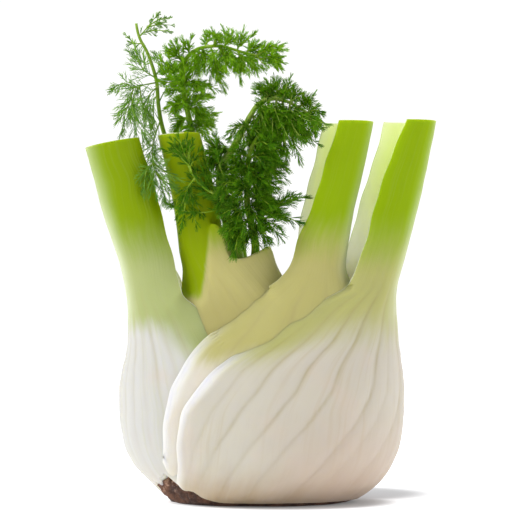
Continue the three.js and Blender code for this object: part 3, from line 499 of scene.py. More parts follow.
def columns(rows):
    """The columns of a table of rows as smooth curves over its first column."""
    heights, *rest = zip(*rows)
    return [smooth(heights, column) for column in rest]


def waves(points, size, seed=0.0):
    """Soft noise from -1 to 1 at each point, with features about size across."""
    shift = Vector((seed * 7.3, seed * 3.1, seed * 5.7))
    values = [noise.noise(Vector(p) / size + shift) for p in points.reshape(-1, 3)]
    return np.array(values).reshape(points.shape[:-1])


# Meshes


def mesh_piece(name, points, faces, materials, attributes=None, face_materials=None, sharp=35):
    """A smooth-shaded object from points in millimetres and faces, with named values for each point."""
    mesh = bpy.data.meshes.new(name)
    mesh.from_pydata((points * MM).tolist(), [], faces)
    for label, values in (attributes or {}).items():
        layer = mesh.attributes.new(label, "FLOAT", "POINT")
        layer.data.foreach_set("value", np.asarray(values, np.float32))
    for material in materials:
        mesh.materials.append(material)
    if face_materials is not None:
        mesh.polygons.foreach_set("material_index", np.asarray(face_materials, np.int32))
    mesh.shade_smooth()
    mesh.set_sharp_from_angle(angle=math.radians(sharp))
    mesh.validate()
    piece = bpy.data.objects.new(name, mesh)
    bpy.context.scene.collection.objects.link(piece)
    return piece


def quads(lower, upper):
    """The faces between two rows of point numbers, both as long as each other."""
    return np.stack((lower[:-1], lower[1:], upper[1:], upper[:-1]), 1)


def tube(rows, size):
    """The numbers of a tube's points, row by row, and the faces of its wall."""
    numbers = np.arange(rows * size).reshape(rows, size)
    closed = np.concatenate((numbers, numbers[:, :1]), 1)
    walls = [quads(lower, upper) for lower, upper in zip(closed[:-1], closed[1:])]
    return numbers, np.concatenate(walls).tolist()


# Leaves


class Leaf:
    """A leaf as a curved strip: its sections, what it lies on, and the ribs on its outer side."""

    def __init__(self, kind, lies_on):
        self.rows, self.side, self.tilt, self.fine_ribs, self.seed = WRAPPING_LEAVES[kind]
        self.at = columns(self.rows)
        self.lies_on = lies_on
        self.grooves = GROOVES[kind]
        self.tear = TEARS[kind]
        self.flush_heights = FLUSH_HEIGHTS[kind]

    def curve(self, z, s):
        """Points on the plain outer curve, and the way straight out of it. s is -1 at the front margin."""
        out, rx, ry, front, back, _, shift = [column(z) for column in self.at]
        middle = out - rx
        ragged = self.ragged(z)
        margin = np.where(s < 0, front + ragged, back - ragged)
        span = np.arccos(np.clip((margin - middle) / rx, -0.999, 0.999))
        angle = s * span
        nx, ny = np.cos(angle) / rx, np.sin(angle) / ry
        size = np.hypot(nx, ny)
        return middle + rx * np.cos(angle), shift + ry * np.sin(angle), nx / size, ny / size

    def ragged(self, z):
        """How far the margins wander from their smooth line at each height."""
        return RAGGED * np.sin(z / 3.1 + self.seed) * np.sin(z / 7.7 + 2 * self.seed)

    def flush(self, z):
        """1 at the heights where the margin melts into the leaf beneath, and 0 well below and above them."""
        a, b, c, d = self.flush_heights
        return smoothstep(z, a, b) * (1 - smoothstep(z, c, d))

    def thickness(self, z, s):
        wing = smoothstep(z, *WING_HEIGHTS) * smoothstep(s, -0.1, 0.5)
        thick = lerp(self.at[5](z), MARGIN_THICKNESS, np.minimum(1, np.abs(s) ** 3))
        return thick * (1 - WING_THINNING * wing)

    def ellipse(self, z):
        """The middle and radii of the outer curve at each height, in the object's own directions."""
        out, rx, ry, _, _, _, shift = [column(z) for column in self.at]
        return self.side * (out - rx), shift, rx, ry

    def reaches(self, z, x, front):
        """0 where the leaf covers x, rising to 1 beyond its margin at the front or at the back."""
        margin = self.side * np.where(front, self.at[3](z), self.at[4](z))
        return smoothstep(-self.side * (x - margin), -2, 7)

    def placed(self, z, x, y):
        """Points from leaf coordinates, in which the leaf's own side is always +x, to the object's."""
        out, rx = self.at[0](z), self.at[1](z)
        lean = self.tilt * smoothstep(z, *LEAN)
        return np.stack(np.broadcast_arrays(self.side * x, y, z - lean * (x - (out - rx))), -1)


def distance_in(x, y, nx, ny, ellipse):
    """How far it is from a point inwards, against the way (nx, ny), to an ellipse. Far where it misses."""
    cx, cy, rx, ry = ellipse
    px, py, dx, dy = (x - cx) / rx, (y - cy) / ry, nx / rx, ny / ry
    a = dx * dx + dy * dy
    b = px * dx + py * dy
    c = px * px + py * py - 1
    within = b * b - a * c
    hits = (within > 0) & (b > 0)
    t = np.where(hits, (b - np.sqrt(np.maximum(within, 0))) / a, FAR)
    return np.where(c < 0, 0, t)


def closed_sheath(z):
    x, rx, ry = [column(z) for column in SHEATH_COLUMNS]
    return x, 0, rx, ry


def root_plate_edge(z):
    share = ROOT_SHARE(z)
    return 0, 0, ROOT_RADII[0] * share + ROOT_MARGIN, ROOT_RADII[1] * share + ROOT_MARGIN


SHEATH_COLUMNS = columns(CLOSED_SHEATH)
ROOT_SHARE = smooth(*zip(*ROOT_PLATE))


def room_under(leaf, z, x, y, nx, ny):
    """The room between a leaf's plain outer curve and whatever it lies on, along the way straight in."""
    room = np.full(np.broadcast(x, z).shape, FAR)
    for beneath in leaf.lies_on:
        cx, cy, rx, ry = beneath.ellipse(z) if isinstance(beneath, Leaf) else beneath(z)
        found = distance_in(x, y, nx, ny, (leaf.side * cx, cy, rx, ry))
        if isinstance(beneath, Leaf):
            found = found + PAST_EDGE * beneath.reaches(z, leaf.side * x, y < 0)
        if beneath is root_plate_edge:
            found = found + PAST_EDGE * smoothstep(z, 6, 8)
        room = np.minimum(room, found)
    return room


def rib_depth(leaf, z, s, width):
    """How deep the grooves between a leaf's ribs are, and how near the bottom of one each point is, 0 to 1.

    width is what one unit of s measures there.
    """
    lean = GROOVE_LEAN * (1 - smoothstep(z, *GROOVE_LEAN_HEIGHTS)) if leaf.side > 0 else 0
    stalk = smoothstep(z, *GROOVE_FADE)
    depth = np.zeros(np.broadcast(z, s).shape)
    crease = np.zeros(depth.shape)
    for place, strength in leaf.grooves:
        away = (s - place + lean * (1 - place**4)) * width
        wide = np.exp(-((away / lerp(*GROOVE_WIDTH, stalk)) ** 2))
        narrow = np.exp(-((away / GROOVE_LINE_WIDTH) ** 2))
        depth += strength * (GROOVE_HOLLOW * wide + GROOVE_LINE * narrow) * lerp(1, STALK_GROOVE, stalk)
        crease = np.maximum(crease, np.exp(-((away / CREASE_WIDTH) ** 2)) * strength)
    fine = 0.5 - 0.5 * np.cos(2 * np.pi * leaf.fine_ribs * s + leaf.seed)
    return depth + FINE_RIB * fine, crease * (1 - stalk)


def leaf_grid(leaf):
    """A leaf's points as heights z and places s across it, each row bent up where the foot is torn."""
    low, high = leaf.rows[0][0], leaf.rows[-1][0]
    sheath = np.arange(low, STALK_FROM, ROW_STEP)
    stalk = np.linspace(STALK_FROM, high, 1 + round((high - STALK_FROM) / STALK_ROW_STEP))
    z = np.concatenate((sheath, stalk))[:, None]
    t = np.linspace(-1, 1, INNER_COLUMNS * COLUMN_RATIO + 1)[None]
    s = t * (1 + CROWDING * (1 - t * t))
    place, width, height = leaf.tear
    (few, deep), (many, shallow) = TEAR_TEETH
    uneven = 1 + deep * np.sin(s * few + leaf.seed) + shallow * np.sin(s * many)
    torn = height * np.exp(-(((s - place) / width) ** 2)) * uneven
    z = z + (torn + FOOT_RISE) * (1 - smoothstep(z, low, TEAR_TOP))
    return z, np.broadcast_to(s, z.shape)


def droop_of(leaf, z, room, from_margin):
    """How far each point bends down from the plain curve onto what lies beneath."""
    flush = leaf.flush(z)
    dip = lerp(-MARGIN_THICKNESS - LAYER_GAP, FLUSH_DEPTH, flush)
    lies = 1 - smoothstep(room, *FREE_ROOM)
    clear, sunk = [np.clip(from_margin / width, 0, 1) for width in DROOP_WIDTH]
    shape = lerp(1 - smoothstep(clear, 0, 1), (1 - sunk) ** FLUSH_POWER, flush)
    return np.clip(room + dip, 0, DROOP_LIMIT) * lies * shape


def swell_of(leaf, plain, calm, flush):
    """The soft unevenness of the outer side, less of it at the margins and none at a flush one."""
    (broad, high), (small, low) = SWELLINGS
    swell = waves(plain, broad, leaf.seed) * high + waves(plain, small, leaf.seed + 9) * low
    return swell * lerp(lerp(0.35, 0, flush), 1, calm)


def lain_leaf(leaf, z, s):
    """A leaf's outer and inner sides as it lies there, and its outer side's values for the skin."""
    x, y, nx, ny = leaf.curve(z, s)
    steps = np.hypot(np.diff(x), np.diff(y))
    along_curve = np.concatenate((np.zeros((len(z), 1)), np.cumsum(steps, 1)), 1)
    whole = along_curve[:, -1:]
    from_margin = np.minimum(along_curve, whole - along_curve)
    room = room_under(leaf, z, x, y, nx, ny)
    flush = leaf.flush(z)
    calm = smoothstep(from_margin, 0.5, lerp(*CALM_WIDTH, flush))
    ribs, crease = rib_depth(leaf, z, s, whole / 2)
    depth = ribs * calm + droop_of(leaf, z, room, from_margin)
    depth -= swell_of(leaf, leaf.placed(z, x, y), calm, flush)
    depth = lerp(np.minimum(depth, np.maximum(room - LEAST_ROOM, -HIGHEST_SWELL)), depth, flush)
    thick = np.minimum(leaf.thickness(z, s), room - depth - LAYER_GAP)
    inward = depth + np.maximum(thick, lerp(LEAST_THICKNESS, FLUSH_THICKNESS, flush))
    outer = leaf.placed(z, x - depth * nx, y - depth * ny)
    inner = leaf.placed(z[:, FEW], (x - inward * nx)[:, FEW], (y - inward * ny)[:, FEW])
    # Painted highlight: a pale strip along a clear margin, where its rolled edge would catch the light
    roll = 1 - smoothstep(from_margin, 0.3, lerp(*MARGIN_HIGHLIGHT_WIDTH, smoothstep(z, *MARGIN_HIGHLIGHT_HEIGHTS)))
    roll *= (1 - flush) * (1 - smoothstep(z, *MARGIN_HIGHLIGHT_FADE))
    return outer, inner, {"edge": from_margin, "groove": crease * calm, "roll": roll}


def lip(outer, inner, side):
    """The rounded edge beyond a margin, from the outer side to the inner one. side is its column, 0 or -1."""
    first, last = outer[:, side], inner[:, side]
    step = first - outer[:, 1 if side == 0 else -2]
    beyond = step / np.linalg.norm(step, axis=1, keepdims=True)
    radius = np.linalg.norm(first - last, axis=1, keepdims=True) / 2
    middle = (first + last) / 2
    rings = []
    for turn in np.linspace(0, np.pi, LIP_POINTS + 2)[1:-1]:
        rings.append(middle + (first - middle) * np.cos(turn) + beyond * radius * LIP_REACH * np.sin(turn))
    return np.stack(rings, 1)


def leaf_end(leaf, points, outer, back, inner, front, start, upper):
    """The cut face at one end of a leaf: new points between its outer and inner side, and faces on them.

    outer, back, inner and front are the numbers of the points round the end, and start is the first new one.
    """
    levels = [lerp(points[outer[FEW]], points[inner], k / CUT_ROWS) for k in range(1, CUT_ROWS)]
    if upper:
        for level in levels:
            level[:, 2] += CUT_RELIEF * waves(level, 2.2, leaf.seed)
    grid = start + np.arange(len(levels) * len(inner)).reshape(len(levels), -1)
    faces = []
    for c in range(INNER_COLUMNS):
        edge = outer[c * COLUMN_RATIO : (c + 1) * COLUMN_RATIO + 1].tolist()
        faces.append(edge + [grid[0][c + 1], grid[0][c]])
    for near, far in zip(grid, [*grid[1:], inner]):
        faces += quads(near, far).tolist()
    faces.append([outer[-1], *back, inner[-1], *grid[::-1, -1]])
    faces.append([inner[0], *front, outer[0], *grid[:, 0]])
    return np.concatenate(levels), faces if upper else [face[::-1] for face in faces]


def ring_values(outer, inner, end, lips=None):
    """A value for each point of a leaf: its outer side, back lip, inner side and front lip, then its ends.

    The lips take those of the outer side's margins unless they get their own.
    """
    back, front = (outer[:, -1:], outer[:, :1]) if lips is None else [np.full((len(outer), 1), lips)] * 2
    ring = np.concatenate((outer, back.repeat(LIP_POINTS, 1), inner[:, ::-1], front.repeat(LIP_POINTS, 1)), 1)
    return np.concatenate((ring.ravel(), end))


def leaf_piece(name, leaf, skin, flesh):
    """A leaf as a closed mesh: outer side, rounded margins, inner side, and a cut face at each end."""
    z, s = leaf_grid(leaf)
    outer, inner, values = lain_leaf(leaf, z, s)
    ring = np.concatenate((outer, lip(outer, inner, -1), inner[:, ::-1], lip(outer, inner, 0)[:, ::-1]), 1)
    points = ring.reshape(-1, 3)
    numbers, faces = tube(*ring.shape[:2])
    parts = np.cumsum((outer.shape[1], LIP_POINTS, inner.shape[1]))
    ends = np.zeros((0, 3))
    for row, upper in ((0, False), (-1, True)):
        outer_row, back, inner_row, front = np.split(numbers[row], parts)
        cut_from = len(faces)
        start = len(points) + len(ends)
        made, end_faces = leaf_end(leaf, points, outer_row, back, inner_row[::-1], front, start, upper)
        ends = np.concatenate((ends, made))
        faces += end_faces
    if leaf.side < 0:
        faces = [face[::-1] for face in faces]
    none = np.zeros(len(ends))
    few = np.zeros(inner.shape[:2])
    attributes = {
        "across": LEAF_HALF_WIDTH * ring_values(s, s[:, FEW], none),
        "height": ring_values(z, z[:, FEW], ends[:, 2]),
        "edge": ring_values(values["edge"], values["edge"][:, FEW], none + 3),
        "inside": ring_values(0 * s, few + 1, none + 0.5, 0.5),
        "groove": ring_values(values["groove"], few, none),
        "roll": ring_values(values["roll"], few, none),
    }
    cut = np.zeros(len(faces), int)
    cut[cut_from:] = 1
    return mesh_piece(name, np.concatenate((points, ends)), faces, [skin, flesh], attributes, cut)


# The innermost leaf


def smooth_max(a, b, blend):
    near = np.maximum(blend - np.abs(a - b), 0)
    return np.maximum(a, b) + near * near / (4 * blend)


def smooth_min(a, b, blend):
    return -smooth_max(-a, -b, blend)


def from_ellipse(u, v, rx, ry):
    """The distance from an ellipse, negative within it, at u and v radii from its middle."""
    r = np.maximum(np.hypot(u, v), 1e-6)
    return (r - 1) * r / np.maximum(np.hypot(u / rx, v / ry), 1e-6)


def over_rim(x, z, rim):
    """The distance above a rim that is drawn in the plane of x and z. Negative is below it."""
    height = smooth(*zip(*rim))
    xs = np.linspace(rim[0][0], rim[-1][0], RIM_STEPS)
    corners = np.stack((xs, height(xs)), 1)
    nearest = np.full(np.broadcast(x, z).shape, 1e9)
    for (ax, az), (dx, dz) in zip(corners[:-1], np.diff(corners, axis=0)):
        t = np.clip(((x - ax) * dx + (z - az) * dz) / (dx * dx + dz * dz), 0, 1)
        nearest = np.minimum(nearest, (x - ax - t * dx) ** 2 + (z - az - t * dz) ** 2)
    return np.where(z > height(x), 1, -1) * np.sqrt(nearest)


def innermost_stalk(x, y, z):
    """Distances from the outline and the flesh of the innermost leaf's stalk, and the height along it."""
    at = columns(INNER_LEFT_STALK)
    out, rx = at[0](z), at[1](z)
    level = z + STALK_LEAN * smoothstep(z, *LEAN) * (-x - (out - rx))
    out, rx, ry, front, back, thick, shift = [column(level) for column in at]
    middle = out - rx
    u, v = (-x - middle) / rx, (y - shift) / ry
    outline = from_ellipse(u, v, rx, ry)
    margin = np.where(v < 0, front, back)
    span = np.arccos(np.clip((margin - middle) / rx, -0.999, 0.999))
    s = np.arctan2(v, u) / span
    thick = lerp(thick, MARGIN_THICKNESS + 0.3, np.minimum(1, np.abs(s) ** 3))
    stalk = smooth_max(smooth_max(outline, -(outline + thick), RIM_ROUNDING), margin + x, RIM_ROUNDING)
    stalk = np.maximum(stalk, INNER_LEFT_STALK[0][0] - level)
    return outline, np.maximum(stalk, level - INNER_LEFT_STALK[-1][0]), level


def innermost_fields(x, y, z):
    """Distances from the innermost leaf's sheath, rim, stalk's outline and whole body, and the height.

    A negative distance is within.
    """
    cx, _, rx, ry = closed_sheath(z)
    sheath = from_ellipse((x - cx) / rx, y / ry, rx, ry)
    rim = lerp(over_rim(x, z, RIM), over_rim(x, z, BACK_RIM), smoothstep(y, *FRONT_TO_BACK))
    wall = lerp(MOUTH_WALL, MOUTH_MARGIN, smoothstep(rim, *MOUTH_THINNING))
    hollow = np.maximum(sheath + wall, MOUTH_WALL_FROM - z)
    a, b = MOUTH_RADII
    throat = np.maximum(from_ellipse((x - MOUTH_MIDDLE) / a, y / b, a, b), MOUTH_FLOOR - z)
    body = smooth_max(sheath, rim, lerp(RIM_ROUNDING, SHOULDER_ROUNDING, smoothstep(-x, *SHOULDER_SIDE)))
    body = smooth_max(body, -smooth_min(hollow, throat, MOUTH_ROUNDING), RIM_ROUNDING)
    body = np.maximum(body, CLOSED_SHEATH[0][0] - z)
    outline, stalk, level = innermost_stalk(x, y, z)
    return sheath, rim, outline, smooth_min(body, stalk, BLEND), level


CORNERS = np.array([(i, j, k) for i in (0, 1) for j in (0, 1) for k in (0, 1)])


def crossing_points(field, cells):
    """In each cell, the middle of the points on its edges where the field passes zero, counted in cells."""
    values = np.stack([field[tuple((cells + corner).T)] for corner in CORNERS], 1)
    total = np.zeros((len(cells), 3))
    crossings = np.zeros(len(cells))
    for a, b in combinations(range(8), 2):
        if np.abs(CORNERS[a] - CORNERS[b]).sum() != 1:
            continue
        crossed = (values[:, a] < 0) != (values[:, b] < 0)
        t = np.where(crossed, values[:, a] / np.where(crossed, values[:, a] - values[:, b], 1), 0)
        total += (CORNERS[a] + t[:, None] * (CORNERS[b] - CORNERS[a])) * crossed[:, None]
        crossings += crossed
    return cells + total / crossings[:, None]


def surface_where_zero(field, low, cell):
    """The closed surface where a field on a grid passes zero: one point in each cell that it crosses."""
    inside = field < 0
    shape = np.array(field.shape) - 1
    m, n, o = shape
    count = sum(inside[i : m + i, j : n + j, k : o + k].astype(int) for i, j, k in CORNERS)
    cells = np.argwhere((count > 0) & (count < 8))
    points = low + crossing_points(field, cells) * cell
    numbers = np.full(tuple(shape), -1)
    numbers[tuple(cells.T)] = np.arange(len(cells))
    faces = []
    for axis in range(3):
        first, second = [a for a in range(3) if a != axis]
        if axis == 1:
            first, second = second, first
        ahead = np.roll(inside, -1, axis)
        crossed = np.argwhere(inside != ahead)
        crossed = crossed[(crossed[:, first] > 0) & (crossed[:, second] > 0) & (crossed < shape).all(1)]
        one, two = np.eye(3, dtype=int)[[first, second]]
        loop = np.stack([numbers[tuple((crossed - d).T)] for d in (one + two, two, 0 * one, one)], 1)
        outward = inside[tuple(crossed.T)]
        faces.append(np.where(outward[:, None], loop, loop[:, ::-1]))
    return points, np.concatenate(faces)


def innermost_leaf(name, skin, flesh):
    """The innermost leaf: a closed sheath open at a mouth, flowing into its stalk."""
    axes = [np.arange(a, b, step) for a, b, step in zip(GRID_LOW, GRID_HIGH, CELL)]
    field = innermost_fields(*np.meshgrid(*axes, indexing="ij", sparse=True))[3]
    points, faces = surface_where_zero(field, GRID_LOW, CELL)
    sheath, rim, outline, _, level = innermost_fields(*points.T)
    axis = smooth(*zip(*INNERMOST_AXIS))(points[:, 2])
    turn = np.arctan2(points[:, 0] - axis, -points[:, 1])
    outside = np.maximum(np.where(rim < 1, sheath, -9), outline)
    inside = smoothstep(-outside, 0.5, 1.5)
    stalk = smoothstep(points[:, 2], 76, 92)
    ribs = 0.5 + 0.5 * np.cos(turn * INNERMOST_RIBS)
    depth = INNERMOST_RELIEF * ribs**3 * lerp(1, 0.3, stalk)
    depth = (depth - 0.3 * waves(points, 12, 3) - 0.1 * waves(points, 4, 4)) * (1 - inside)
    top = INNER_LEFT_STALK[-1][0]
    depth *= smoothstep(top - level, 0, 3) * smoothstep(-rim, -9, 1.5)
    tongue = smoothstep(-points[:, 0], *TONGUE_SIDE) * smoothstep(level, *TONGUE_HEIGHTS)
    piece = mesh_piece(name, points, faces.tolist(), [skin, flesh], {
        "across": INNERMOST_HALF_WIDTH * np.cos(turn),
        "around": INNERMOST_HALF_WIDTH * np.sin(turn),
        "height": level + TONGUE_RISE * tongue,
        "edge": np.full(len(points), 30.0),
        "inside": inside,
        "groove": INNERMOST_GROOVE * ribs**8 * (1 - stalk) * (1 - inside),
        "roll": np.zeros(len(points)),
    }, sharp=50)
    normals = np.zeros(len(points) * 3)
    piece.data.vertex_normals.foreach_get("vector", normals)
    moved = points - normals.reshape(-1, 3) * depth[:, None]
    piece.data.vertices.foreach_set("co", (moved * MM).ravel())
    cut = level[faces].min(1) > top - CUT_RIM
    piece.data.polygons.foreach_set("material_index", cut.astype(np.int32))
    piece.data.update()
    return piece


# The root plate


def root_plate(name, bark):
    """The brown stem disc, rippled and torn at its rim and flat underneath."""
    turn = np.linspace(0, 2 * np.pi, ROOT_COLUMNS, endpoint=False)[None]
    top = ROOT_PLATE[-1][0]
    heights = [0.0] * 4 + [*np.linspace(0, ROOT_FOLD, 12)[1:], *np.linspace(ROOT_FOLD, top, 8)[1:]]
    heights = np.array(heights)[:, None]
    shares = np.concatenate(([0.12, 0.4, 0.7], ROOT_SHARE(heights[3:, 0])))[:, None]
    from_scar = (np.degrees(turn) - SCAR_ANGLE + 180) % 360 - 180
    scar = np.exp(-((from_scar / np.where(from_scar < 0, *SCAR_WIDTHS)) ** 2))
    rim = smoothstep(shares, 0.75, 0.92)
    ripple = sum(size * np.sin(count * turn + 1) for count, size in ROOT_RIPPLES)
    reach = rim * (ripple + scar * SCAR_REACH * lerp(0.1, 1, smoothstep(heights, 0.4, ROOT_FOLD)))
    x = (ROOT_RADII[0] * shares + reach) * np.cos(turn)
    y = (ROOT_RADII[1] * shares + reach) * np.sin(turn)
    z = heights + scar * SCAR_RISE * smoothstep(heights, 1, 4)
    points = np.stack(np.broadcast_arrays(x, y, z), -1)
    rough = waves(points * ROOT_SQUASH, 3.2, 1) * 0.7 + waves(points * ROOT_SQUASH, 1.1, 2) * 0.45
    rough = rough * rim * smoothstep(heights, 0, 0.8) * lerp(0.5, 2.2, scar)
    out = points[..., :2] / np.linalg.norm(points[..., :2], axis=-1, keepdims=True)
    points[..., :2] += out * rough[..., None]
    numbers, faces = tube(*points.shape[:2])
    faces += [numbers[0, ::-1].tolist(), numbers[-1].tolist()]
    torn = np.broadcast_to(scar, numbers.shape).ravel()
    return mesh_piece(name, points.reshape(-1, 3), faces, [bark], {"torn": torn}, sharp=60)


# Fronds


def grown_curve(points, count):
    """count evenly spaced points on a smooth curve through the given ones."""
    points = np.array(points, float)
    ends = (2 * points[0] - points[1], 2 * points[-1] - points[-2])
    chain = np.concatenate((ends[:1], points, ends[1:]))
    t = np.linspace(0, 1, 24, endpoint=False)[:, None]
    spans = np.sqrt(np.linalg.norm(np.diff(chain, axis=0), axis=1))
    fine = []
    for i in range(len(points) - 1):
        a, b, c, d = chain[i : i + 4]
        before, here, after = np.maximum(spans[i : i + 3], 1e-3)
        leave = ((b - a) / before - (c - a) / (before + here) + (c - b) / here) * here
        arrive = ((c - b) / here - (d - b) / (here + after) + (d - c) / after) * here
        bowed = (3 * (c - b) - 2 * leave - arrive) * t**2 + (2 * (b - c) + leave + arrive) * t**3
        fine.append(b + leave * t + bowed)
    fine = np.concatenate((*fine, points[-1:]))
    length = np.concatenate(([0], np.cumsum(np.linalg.norm(np.diff(fine, axis=0), axis=1))))
    even = np.linspace(0, length[-1], count)
    return np.stack([np.interp(even, length, fine[:, k]) for k in range(3)], 1), length[-1]


def unit(vectors):
    return vectors / np.maximum(np.linalg.norm(vectors, axis=-1, keepdims=True), 1e-9)


class Strands:
    """Tapering round strands, gathered into one mesh."""

    def __init__(self):
        self.points, self.faces, self.values, self.count = [], [], [], 0

    def add(self, lines, radii, sides, stem, tone):
        """lines is (strands, points, 3) and radii (strands, points). stem is 1 on stems and 0 on threads."""
        strands, steps = lines.shape[:2]
        along = unit(np.gradient(lines, axis=1))
        whole = unit(lines[:, -1] - lines[:, 0])
        guide = np.where(np.abs(whole[:, 2:]) < 0.8, (0.0, 0.0, 1.0), (0.0, 1.0, 0.0))
        u = unit(np.cross(along, guide[:, None]))
        v = np.cross(along, u)
        turn = np.linspace(0, 2 * np.pi, sides, endpoint=False)
        ring = u[:, :, None] * np.cos(turn)[:, None] + v[:, :, None] * np.sin(turn)[:, None]
        points = lines[:, :, None] + ring * radii[:, :, None, None]
        numbers = self.count + np.arange(strands * steps * sides).reshape(strands, steps, sides)
        beside = np.roll(numbers, -1, 2)
        walls = np.stack((numbers[:, :-1], beside[:, :-1], beside[:, 1:], numbers[:, 1:]), -1)
        self.faces += walls.reshape(-1, 4).tolist()
        self.faces += numbers[:, 0, ::-1].tolist()
        self.faces += numbers[:, -1].tolist()
        self.points.append(points.reshape(-1, 3))
        place = np.broadcast_to(np.linspace(0, 1, steps)[None, :, None], numbers.shape)
        shade = np.broadcast_to(np.asarray(tone, float).reshape(-1, 1, 1), numbers.shape)
        self.values.append(np.stack((np.full(numbers.shape, float(stem)), place, shade), -1).reshape(-1, 3))
        self.count += numbers.size

    def piece(self, name, skin):
        stem, place, tone = np.concatenate(self.values).T
        attributes = {"stem": stem, "place": place, "tone": tone}
        return mesh_piece(name, np.concatenate(self.points), self.faces, [skin], attributes, sharp=75)


def branches_of(stem_points, branches):
    """The side branches as evenly spaced points, each rooted on the nearest stem or branch before it."""
    grown = grown_curve(stem_points, GROWN_POINTS)[0]
    for leaf, *path in branches:
        path = np.array(path, float)
        path[0] = grown[np.linalg.norm(grown - path[0], axis=1).argmin()]
        points, length = grown_curve(path, BRANCH_POINTS)
        grown = np.concatenate((grown, points[4:-4]))
        yield leaf, points, length


def sister(points, chance):
    """A slighter branch that grows a little way up the same one and leans to its own side."""
    start = int(len(points) * chance.uniform(*SISTER_START))
    way = points[start:] - points[start]
    side = unit(np.cross(unit(points[-1] - points[0]), chance.normal(size=3)))
    lean = side * np.linalg.norm(way, axis=1, keepdims=True) * np.tan(chance.uniform(*SISTER_LEAN))
    moved = points[start] + (way + lean) * chance.uniform(*SISTER_SIZE)
    return grown_curve(moved[::3], BRANCH_POINTS)


def free_of(trees, strands):
    """Whether each strand's points all stay outside the leaves."""
    free = np.ones(len(strands), bool)
    for i in np.flatnonzero(strands[:, :, 2].min(1) < LEAVES_TOP):
        for tree in trees:
            for p in strands[i]:
                place = Vector(p) * MM
                near, normal, _, distance = tree.find_nearest(place, SEARCH_REACH)
                if near is not None and ((place - near).dot(normal) < 0 or distance < CLEARANCE):
                    free[i] = False
    return free


def along(lines, share):
    """The point a share of the way along each of the lines."""
    at = share * (lines.shape[1] - 1)
    first = int(at)
    return lerp(lines[:, first], lines[:, first + 1], at - first)


def add_threads(strands, roots, way, size, bend, tone, level, trees):
    """One thread from each root, and which of them are clear of the leaves."""
    t = np.linspace(0, 1, THREAD_POINTS[level])[None, :, None]
    lines = roots[:, None] + (way[:, None] * t + bend[:, None] * t**2) * size[:, None]
    free = free_of(trees, lines[:, 1:])
    if free.any():
        taper = THREAD_RADIUS[level] * (1 - THREAD_TAPER * t[0, :, 0]) * np.ones((free.sum(), 1))
        strands.add(lines[free], taper, THREAD_SIDES, 0, tone[free])
    return lines, free


def fork(strands, lines, way, flat, size, tone, levels, level, trees, chance):
    """Side threads at acute angles on both sides of each line, and side threads on those."""
    if level == levels or not len(lines):
        return
    for i, (where, share) in enumerate(FORKS[level]):
        for sign in (-1, 1) if level == 0 else ((-1) ** i,):
            spin = chance.normal(0, 0.3, (len(way), 1))
            aside = unit(flat * sign + np.cross(way, flat) * spin)
            turned = unit(way + aside * chance.uniform(*FORK_LEAN, (len(way), 1)))
            reach = size * share * chance.uniform(*LENGTHS, size.shape)
            bend = 0.25 * way - 0.05 * turned
            roots = along(lines, where)
            made, free = add_threads(strands, roots, turned, reach, bend, tone, level + 1, trees)
            kept = [values[free] for values in (made, turned, flat, reach, tone)]
            fork(strands, *kept, levels, level + 1, trees, chance)


def leaflets(strands, leaf, points, length, habit, trees, chance):
    """Forked thread-like leaflets all round a branch."""
    scale, spacing, hang, _, levels, _ = habit
    count = max(3, round(length * (1 - FIRST_LEAFLET) / spacing))
    places = np.append(np.sort(chance.uniform(FIRST_LEAFLET, 1, count - 1)), 1)
    at = places * (len(points) - 1)
    roots = np.stack([np.interp(at, np.arange(len(points)), points[:, k]) for k in range(3)], 1)
    slopes = np.gradient(points, axis=0)
    tangents = unit(np.stack([np.interp(at, np.arange(len(points)), slopes[:, k]) for k in range(3)], 1))
    side = unit(np.cross(tangents, (0.1, 1, 0.3)))
    turn = (np.arange(count) * GOLDEN_ANGLE + chance.normal(0, 0.25, count))[:, None]
    side = side * np.cos(turn) + np.cross(tangents, side) * np.sin(turn)
    spread = chance.uniform(*LEAFLET_SPREAD, (count, 1)) * lerp(1, 0.15, places[:, None] ** 8)
    way = unit(side * spread + 0.85 * tangents)
    size = (scale * leaf * (1.15 - 0.45 * places) * chance.uniform(*LENGTHS, count))[:, None]
    bend = 0.2 * tangents + chance.normal(0, 0.1, (count, 3)) - (0, 0, hang)
    tone = chance.uniform(0, 1, count)
    lines, free = add_threads(strands, roots, way, size, bend, tone, 0, trees)
    flat = unit(np.cross(way, tangents) + chance.normal(0, 0.3, (count, 3)))
    flat = unit(flat - (flat * way).sum(1, keepdims=True) * way)
    kept = [values[free] for values in (lines, way, flat, size, tone)]
    fork(strands, *kept, levels, 0, trees, chance)


def frond(name, replaced, skin, trees, seed):
    """A frond: its stem, its branches with some sisters beside each, and the leaflets on all of them."""
    stem_points, radii, branches = FRONDS[replaced]
    habit = HABITS[replaced]
    *_, sisters, _, branch_radius = habit
    chance = np.random.default_rng(seed)
    strands = Strands()
    stem, _ = grown_curve(stem_points, STEM_POINTS)
    strands.add(stem[None], lerp(*radii, np.linspace(0, 1, STEM_POINTS))[None], STEM_SIDES, 1, [0.5])
    for leaf, points, length in branches_of(stem_points, branches):
        radius = (branch_radius if leaf else BARE_BRANCH_RADIUS) * np.linspace(1, BRANCH_TIP, len(points))
        strands.add(points[None], radius[None], BRANCH_SIDES, 1 if leaf else 0.5, [chance.uniform()])
        if not leaf:
            continue
        leaflets(strands, leaf, points, length, habit, trees, chance)
        for _ in range(sisters):
            beside, length_beside = sister(points, chance)
            if free_of(trees, beside[None, ::4]).all():
                strands.add(beside[None], radius[None] * SISTER_RADIUS, BRANCH_SIDES, 1, [chance.uniform()])
                leaflets(strands, leaf * SISTER_LEAFLETS, beside, length_beside, habit, trees, chance)
    return strands.piece(name, skin)


# Materials


